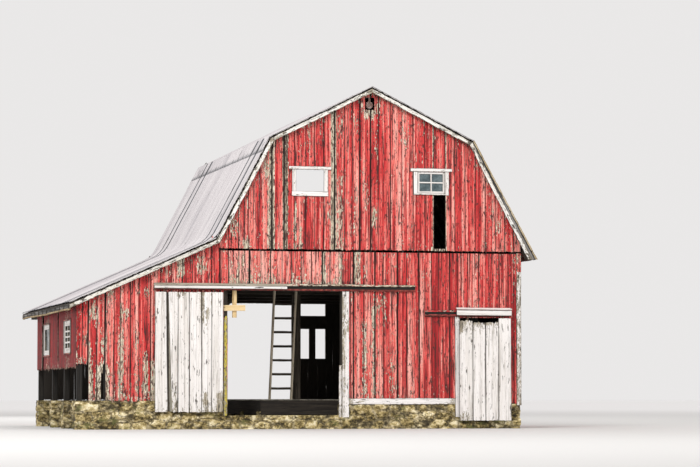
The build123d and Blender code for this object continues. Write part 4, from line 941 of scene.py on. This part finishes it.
def doorBoards(rng, d):  # upright boards in front of three ledges
    edges, (z0, z1), half, inset = d["edges"], d["z"], doors["ledgeHeight"] / 2, doors["ledgeInset"]
    parts, wear = [], wearFrom(d["worn"])
    for k, (a, b) in enumerate(zip(edges, edges[1:])):
        x = (a + doors["gap"], b - d["gaps"].get(k, doors["gap"]))
        look = {**d["look"], **d["own"].get(k, {})}
        parts.append(timber(rng, x, doors["boardY"], (z0, z1 - d["drops"].get(k, 0.0)), up, front, chip=0.002,
                            wear=wear, **look))
    x = (edges[0] + inset, edges[-1] - inset)
    return parts + [timber(rng, x, doors["ledgeY"], (z - half, z + half), right, back, bare=0.5) for z in d["ledges"]]


def makeDoors(big, small):
    rng = np.random.default_rng(big["seed"])
    body, z = "sliding_door", (big["z"][0] + big["inset"], big["z"][1] - big["inset"])
    assemble("bigDoorBoards", doorBoards(rng, big), whitePaint, ("large_door",), body)
    # a dark board behind the wide crack between the first two boards: painted shade in the crack
    parts = [timber(rng, *big["backing"], z, up, front)]
    assemble("bigDoorBacking", parts, darkShadedWood, body=body)
    parts = [timber(rng, *big["batten"], z, up, front, splay=(0.036, 0.0), chip=0.004, step=0.06)]
    assemble("bigDoorBatten", parts, greyWood, body=body)
    parts = doorBoards(np.random.default_rng(small["seed"]), small)
    assemble("smallDoorBoards", parts, whitePaint, ("small_door",), "small_door")


makeDoors(bigDoor, smallDoor)

# Tracks: a back board, a rail on packers, boards in front of it, and a white cover where the door hangs at rest
tracks = {
    "seed": 97, "backY": (-0.025, 0), "backHeight": 0.15, "railY": (-0.054, -0.048), "railZ": (0.01, 0.04),
    "packers": 7, "packerHalf": 0.02, "packerInset": 0.04, "packerY": (-0.048, -0.025), "packerZ": (0.01, 0.038),
    "big": {"x": (-4.90, 1.01), "z": 3.05, "cover": (-4.90, -1.94), "coverZ": (0.028, 0.095), "capWear": 0.6},
    "small": {"x": (1.232, 3.226), "z": 2.50, "cover": (1.95, 3.226), "coverZ": (0.034, 0.15), "capWear": 0.1},
    "coverY": (-0.12, -0.10), "capY": -0.0775, "capRise": 0.025, "capSlope": (0, 0.095, 0.05),
    "capSize": (0.108, 0.012),
    # x, y and z over the track's foot of the boards in front
    "bigFoot": ((-4.90, 1.01), (-0.045, -0.02), (-0.006, 0.040)),
    "bigHead": ((-1.94, 1.01), (-0.052, -0.02), (0.098, 0.158)),
    "smallHead": ((1.232, 1.95), (-0.040, -0.02), (0.100, 0.15)),
    "smallFoot": ((1.232, 1.95), (-0.040, -0.02), (0.0, 0.062)),
}


def makeTracks(t):
    rng = np.random.default_rng(t["seed"])

    def level(base, x, y, z, **look):  # a board or bar over a track's foot
        return timber(rng, x, y, (base + z[0], base + z[1]), right, front, **look)

    big, small = t["big"], t["small"]
    parts = [level(big["z"], *t["bigFoot"], bare=0.35, chip=0.006, extra=2, step=0.06),
             level(big["z"], *t["bigHead"], bare=0.85, chip=0.018, extra=5, bow=0.008, rag=(0.03, 0.03), step=0.035),
             level(small["z"], *t["smallHead"], bare=0.2, chip=0.007, extra=2, step=0.06),
             level(small["z"], *t["smallFoot"], bare=0.1, chip=0.007, extra=2, step=0.06)]
    assemble("trackBoards", parts, redPaint, ("door_tracks",))
    # near-black back boards: painted shade in the recess behind the track's boards
    parts = [level(d["z"], d["x"], t["backY"], (0, t["backHeight"]), chip=0.006, extra=4, step=0.1)
             for d in (big, small)]
    assemble("trackBacks", parts, paintedShadeWood)
    parts, plain = [], {"chip": 0.0, "edge": 0.001, "bow": 0.0}
    for d in (big, small):
        parts.append(level(d["z"], d["x"], t["railY"], t["railZ"], step=0.5, **plain))
        for x in np.linspace(d["x"][0] + t["packerInset"], d["x"][1] - t["packerInset"], t["packers"]):
            packer = (x - t["packerHalf"], x + t["packerHalf"])
            parts.append(level(d["z"], packer, t["packerY"], t["packerZ"], **plain))
    assemble("railIron", parts, railPaint)
    covers, caps, slope = [], [], unit(np.array(t["capSlope"]))
    for d in (big, small):
        (a, b), top = d["cover"], d["z"] + d["coverZ"][1]
        covers.append(level(d["z"], d["cover"], t["coverY"], d["coverZ"], bare=0.0, chip=0.0015))
        start = place(a, t["capY"], top + t["capRise"])
        caps.append(plank(rng, start, right, -slope, (b - a, *t["capSize"]), bare=d["capWear"], chip=0.006, extra=4,
                          rag=(0.01, 0.02)))
    assemble("trackCovers", [*covers, caps[1]], whitePaint, ("track_covers",))
    assemble("trackCaps", caps[:1], greyWood)


makeTracks(tracks)
print("doors and tracks made")


# Timber frame: each squared timber of the model becomes a sawn piece with its own grain

def solidBoxes(node):  # the boxes round a node's separate solids, found by sharing corners
    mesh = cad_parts[node].data
    points = np.zeros(len(mesh.vertices) * 3)
    mesh.vertices.foreach_get("co", points)
    loops = np.zeros(len(mesh.loops), int)
    mesh.loops.foreach_get("vertex_index", loops)
    points = points.reshape(-1, 3)
    _, same = np.unique(np.round(points, 5), axis=0, return_inverse=True)
    same = same.reshape(-1)
    faces = same[loops.reshape(-1, 3)]
    label = np.arange(same.max() + 1)
    for _ in range(len(label)):
        lowest = label[faces].min(1)
        before = label.copy()
        for c in range(3):
            np.minimum.at(label, faces[:, c], lowest)
        if (before == label).all():
            break
    boxes = []
    for key in np.unique(label):
        own = points[label[same] == key]
        boxes.append((own.min(0), own.max(0)))
    return boxes


timbers = {
    "seed": 101,
    "nodes": ("main_posts", "tie_beams", "wall_plates", "loft_joists", "leanto_posts", "floor_beams", "ridge_board"),
}


def makeTimbers(t):
    rng = np.random.default_rng(t["seed"])
    for node in t["nodes"]:
        parts = []
        for low, high in solidBoxes(node):
            longest = "xyz"[int(np.argmax(high - low))]
            parts.append(boxPlank(rng, low, high, axis[longest], up if longest == "y" else front, step=0.4, edge=0.007,
                                  chip=0.002, bow=0.002))
        # the lean-to's posts take near-black wood: painted shade of the dark space under the side wall
        assemble(camel(node), parts, paintedShadeWood if node == "leanto_posts" else darkShadedWood, (node,))


makeTimbers(timbers)

rafters = {
    "seed": 103, "count": 12, "inset": 0.08, "half": 0.025, "depths": (0.056, 0.18), "leantoDepths": (0.056, 0.15),
}


def makeRafters(r):
    rng = np.random.default_rng(r["seed"])
    places = np.linspace(r["inset"], barn["depth"] - r["inset"], r["count"])

    def rafter(i, y, depths):
        return slopePlank(rng, i, depths, (y - r["half"], y + r["half"]), step=0.4, chip=0.001)

    parts = [rafter(i, y, r["depths"]) for y in places for i in (2, 3, 1, 4)]
    assemble("mainRafters", parts, darkShadedWood, ("upper_rafters", "steep_rafters"))
    parts = [rafter(0, y, r["leantoDepths"]) for y in places]
    assemble("leantoRafters", parts, darkShadedWood, ("leanto_rafters",))


makeRafters(rafters)

floors = {
    "seed": 107, "hatch": (-1.965, -1.345, 1.30, 2.07), "loftX": 3.25, "loftY": (0.03, 8.37), "loftZ": (3.40, 3.428),
    "loftPitch": 0.19, "loftGap": 0.003, "x": (-2.2, 3.25), "lastFrom": 3.2, "pitch": 0.182, "gap": 0.002,
    "y": (1.5, 8.37), "z": (0.617, 0.645), "riser": ((-2.2, 3.08), (1.475, 1.5), (0.30, 0.635)),
    "skirt": ((-2.2, -2.178), (1.5, 8.0), (0.30, 0.617)),
}


def makeFloors(f):
    rng = np.random.default_rng(f["seed"])
    parts = []
    x0, x1, y0, y1 = f["hatch"]
    edges = np.arange(*f["loftY"], f["loftPitch"])
    for a, b in zip(edges, edges[1:]):
        beside = ((-f["loftX"], x0), (x1, f["loftX"])) if a < y1 and b > y0 else ((-f["loftX"], f["loftX"]),)
        y = (a + f["loftGap"], b - f["loftGap"])
        parts += [timber(rng, x, y, f["loftZ"], right, up, step=0.8, chip=0.001) for x in beside]
    assemble("loftPlanks", parts, darkShadedWood, ("loft_floor",))
    parts = []
    for a in np.arange(f["x"][0], f["lastFrom"], f["pitch"]):
        x = (a + f["gap"], min(a + f["pitch"] - f["gap"], f["x"][1]))
        parts.append(timber(rng, x, f["y"], f["z"], back, up, step=0.5, chip=0.002, rag=(0.006, 0)))
    assemble("floorPlanks", parts, greyWood, ("plank_floor",))
    parts = [timber(rng, *f["riser"], right, front, bare=0.2, step=0.2, chip=0.004, rag=(0.01, 0.0), extra=3)]
    assemble("floorRiser", parts, darkShadedWood, ("floor_riser",))
    # a dark skirt board at the floor's open side: painted shade there
    parts = [timber(rng, *f["skirt"], back, left, step=0.3, chip=0.004, extra=3)]
    assemble("floorSkirt", parts, darkShadedWood)


makeFloors(floors)

ladderPlan = {
    "seed": 109, "x": (-1.926, -1.380), "foot": (1.8836, 0.645), "lean": 0.2097, "height": 3.1, "rail": (0.045, 0.09),
    "rungs": 9, "first": 0.257, "pitch": 0.317, "rung": (0.50, 0.055, 0.024),
}


def makeLadder(p):
    rng = np.random.default_rng(p["seed"])
    along = unit(np.array((0, -p["lean"], 1.0)))
    out = np.cross(right, along)
    (x0, x1), (y, z), (thick, deep), (length, wide, high) = p["x"], p["foot"], p["rail"], p["rung"]
    size = (p["height"] / along[2], thick, deep)
    parts = [plank(rng, place(x, y + deep, z), along, right, size, step=0.2, chip=0.002)
             for x in (x0 + thick / 2, x1 - thick / 2)]
    # the rails are paler than the dark rungs: painted light on the rails, painted shade on the rungs
    assemble("ladderRails", parts, ladderLitTan, ("ladder",))
    parts = []
    for k in range(p["rungs"]):
        rise = p["first"] + k * p["pitch"]
        middle = place((x0 + x1) / 2, y + deep / 2 - p["lean"] * rise, z + rise)
        start = middle - right * length / 2 - out * high / 2
        parts.append(plank(rng, start, right, -along, (length, wide, high), chip=0.002, step=0.1))
    assemble("ladderRungs", parts, darkShadedWood)


makeLadder(ladderPlan)

braces = {
    "seed": 113, "y": (2.16, 4.20, 6.24), "x": 3.25, "head": 3.05, "reach": 0.7, "cut": 0.14, "thick": 0.08,
    # the new timber nailed up in the big doorway: an upright and a crosspiece
    "upright": ((-3.14, -3.045), (0.030, 0.068), (2.45, 3.05)),
    "cross": ((-3.345, -2.857), (-0.008, 0.030), (2.60, 2.727)),
}


def makeBraces(b):
    rng = np.random.default_rng(b["seed"])
    half, slanting = b["cut"] / 2, math.sqrt(2)
    size = ((b["reach"] - half) * slanting, b["cut"] / slanting, b["thick"])
    parts = []
    for y in b["y"]:
        for side in (1, -1):
            along = np.array((side, 0, 1)) / slanting
            start = place(-side * b["x"], y + b["thick"] / 2, b["head"] - b["reach"] + half)
            parts.append(plank(rng, start, along, np.cross(along, front), size, slant=(side, -side), step=0.2))
    assemble("kneeBraces", parts, darkShadedWood, ("knee_braces",))
    parts = [timber(rng, *b["upright"], up, front, chip=0.0, edge=0.002),
             timber(rng, *b["cross"], right, front, chip=0.0, edge=0.002)]
    assemble("newTimbers", parts, newWood, ("new_brace",))


makeBraces(braces)
print("frame made")

# Rubble footings and piers
rubble = {"seed": 127, "cell": 0.03, "stone": (0.36, 0.36, 0.185), "jitter": 0.42, "power": 3.0, "bulge": 0.030,
          "inset": 0.012, "joint": 0.26, "rough": 0.005, "frontY": (0, 0.38), "rearY": (8.02, 8.4),
          # x from, x to and height along the footings
          "front": [(-6.33, -3.25, 0.62), (-3.25, -0.67, 0.30), (-0.67, 2.05, 0.55), (2.05, 3.16, 0.23),
                    (3.16, 3.46, 0.55)],
          "rear": [(-6.38, -2.5, 0.62), (-2.5, 0.0, 0.30), (0.0, 3.46, 0.55)]}


def stoneField(s, points):
    # Scattered stone centres in courses. For each point: how far it is inside its own stone, from 0 on a
    # joint to 1, by the distances to the nearest and the second nearest centre, and that stone's tint.
    rng = np.random.default_rng(s["seed"])
    table = rng.random((32, 32, 16, 4))
    q = points / np.array(s["stone"]) + 64.0
    q[:, 0] += 0.5 * (np.floor(q[:, 2]) % 2)
    home = np.floor(q).astype(int)
    first, second, tint = np.full(len(q), 9.0), np.full(len(q), 9.0), np.zeros(len(q))
    for dx in (-1, 0, 1):
        for dy in (-1, 0, 1):
            for dz in (-1, 0, 1):
                cell = home + (dx, dy, dz)
                drawn = table[cell[:, 0] % 32, cell[:, 1] % 32, cell[:, 2] % 16]
                centre = cell + 0.5 + (drawn[:, :3] - 0.5) * s["jitter"] * 2
                far = (np.abs(q - centre) ** s["power"]).sum(1) ** (1 / s["power"])
                nearer = far < first
                second = np.where(nearer, first, np.minimum(second, far))
                tint = np.where(nearer, drawn[:, 3], tint)
                first = np.where(nearer, far, first)
    share = np.clip((second - first) / s["joint"], 0, 1)
    return share * share * (3 - 2 * share), tint


def rubbleBlock(rng, s, low, high, free):
    # the block's six faces as grids; upright faces that are free are pushed out by the stone field
    counts = np.maximum(2, np.round((high - low) / s["cell"]).astype(int))
    lines = [np.linspace(low[k], high[k], counts[k] + 1) for k in range(3)]
    points, quads, start = [], [], 0
    for k in range(3):
        i, j = (k + 1) % 3, (k + 2) % 3
        u, v = np.meshgrid(lines[i], lines[j], indexing="ij")
        index = np.arange(u.size).reshape(u.shape)
        face = np.stack([index[:-1, :-1], index[1:, :-1], index[1:, 1:], index[:-1, 1:]], -1).reshape(-1, 4)
        for level, turned in ((high[k], False), (low[k], True)):
            spot = np.zeros((u.size, 3))
            spot[:, i], spot[:, j], spot[:, k] = u.ravel(), v.ravel(), level
            points.append(spot)
            quads.append((face[:, ::-1] if turned else face) + start)
            start += u.size
    points, same = np.unique(np.round(np.concatenate(points), 6), axis=0, return_inverse=True)
    quads = same.reshape(-1)[np.concatenate(quads)]
    push = np.zeros_like(points)
    for k, (lowFree, highFree) in enumerate((free[:2], free[2:])):
        push[:, k] += np.where(np.abs(points[:, k] - high[k]) < 1e-4, float(highFree), 0)
        push[:, k] -= np.where(np.abs(points[:, k] - low[k]) < 1e-4, float(lowFree), 0)
    push /= np.maximum(np.linalg.norm(push, axis=1, keepdims=True), 1.0)
    share, tint = stoneField(s, points)
    waves = sum(np.sin(points @ d + p) for d, p in zip(rng.normal(size=(6, 3)) * 55, rng.uniform(0, 6, 6))) / 6
    amount = s["bulge"] * share * (0.6 + 0.6 * tint) - s["inset"] + waves * s["rough"]
    moved = points + push * amount[:, None]
    facts = np.stack([tint, share, np.zeros(len(points))], 1)
    return moved, quads, points, facts


def makeStones(s):
    rng = np.random.default_rng(s["seed"])
    for side in ("front", "rear"):
        parts, (near, far), last = [], s[side + "Y"], len(s[side]) - 1
        for k, (a, b, height) in enumerate(s[side]):
            parts.append(rubbleBlock(rng, s, place(a, near, 0), place(b, far, height), (k == 0, k == last, True, True)))
        assemble(side + "Footing", parts, rubbleStone, (side + "_foundation",), smooth=60)
    for name, node, free in (("rightFooting", "right_foundation", (True, True, False, False)),
                             ("stonePiers", "stone_piers", (True, True, True, True))):
        parts = [rubbleBlock(rng, s, low, high, free) for low, high in solidBoxes(node)]
        assemble(name, parts, rubbleStone, (node,), smooth=60)


makeStones(rubble)
print("stones laid")


def redress(node, material):
    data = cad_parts[node].data
    data.materials.clear()
    data.materials.append(material)


redress("window_glass", dustyGlass)
redress("hay_pulley", pulleyRust)
for node in ("large_door_hangers", "small_door_hangers"):
    redress(node, rustyIron)


def makePlainWood():  # painted wood for carried-over nodes, by the object's own coordinates
    f = Finish("paintedFrames")
    spot = f.objectPlace()
    value = f.noise(spot, (14, 14, 3), 5)
    colour = f.ramp(value, [(0.36, (0.36, 0.32, 0.27)), (0.46, (0.74, 0.71, 0.66)), (0.6, (0.86, 0.84, 0.80))])
    return f.dress(colour, 0.7, value, 0.002)


redress("rear_window_frames", makePlainWood())

# Stage: pale floor, soft light, and the photograph's viewpoint
view = {
    "place": (-13.2116, -63.4974, 0.75), "pitch": 0.0588, "yaw": 0.2350, "lens": 141.07, "sensor": 36.0,
    "farClip": 400.0,
    "floor": (0.64, 0.63, 0.615), "farFloor": (0.97, 0.955, 0.95), "floorFade": (14.0, 90.0), "floorHalf": 300.0,
    "sky": (1.0, 0.985, 0.98), "skyStrength": 0.82,
    # name, place, size, power and what it aims at
    "lights": (("keyLight", (-14, -26, 24), 9, 5700, (1, -3, 3)), ("fillLight", (20, -24, 14), 16, 1000, (1, -3, 3)),
               ("rearLight", (-4, 26, 18), 14, 2600, (1, 3, 3))),
}


def addObject(name, data):
    made = bpy.data.objects.new(name, data)
    bpy.context.scene.collection.objects.link(made)
    return made


def makeStage(v):
    scene, data = bpy.context.scene, bpy.data.cameras.new("photoCamera")
    data.lens, data.sensor_width, data.clip_end = v["lens"], v["sensor"], v["farClip"]
    scene.camera = addObject("photoCamera", data)
    scene.camera.location = v["place"]
    scene.camera.rotation_euler = (math.pi / 2 + v["pitch"], 0, -v["yaw"])
    mesh, half = bpy.data.meshes.new("studioFloor"), v["floorHalf"]
    mesh.from_pydata([(-half, -half, 0), (half, -half, 0), (half, half, 0), (-half, half, 0)], [], [(0, 1, 2, 3)])
    f = Finish("studioFloorPaint")
    far = f.node("VectorMath", {0: f.objectPlace()}, "Value", operation="LENGTH")
    mesh.materials.append(f.dress(f.mix(f.blend(far, *v["floorFade"]), v["floor"], v["farFloor"]), 0.9))
    addObject("studioFloor", mesh)
    scene.world = bpy.data.worlds.new("softSky")
    scene.world.use_nodes = True
    sky = scene.world.node_tree.nodes["Background"].inputs
    sky["Color"].default_value, sky["Strength"].default_value = (*v["sky"], 1), v["skyStrength"]
    for name, spot, size, power, aim in v["lights"]:
        lamp = bpy.data.lights.new(name, "AREA")
        lamp.shape, lamp.size, lamp.energy = "SQUARE", size, power
        light = addObject(name, lamp)
        light.location = spot
        d = np.array(aim) - np.array(spot)
        light.rotation_euler = (math.atan2(math.hypot(d[0], d[1]), -d[2]), 0, math.atan2(d[1], d[0]) - math.pi / 2)
    scene.view_settings.view_transform = "Standard"


makeStage(view)
print("stage set")
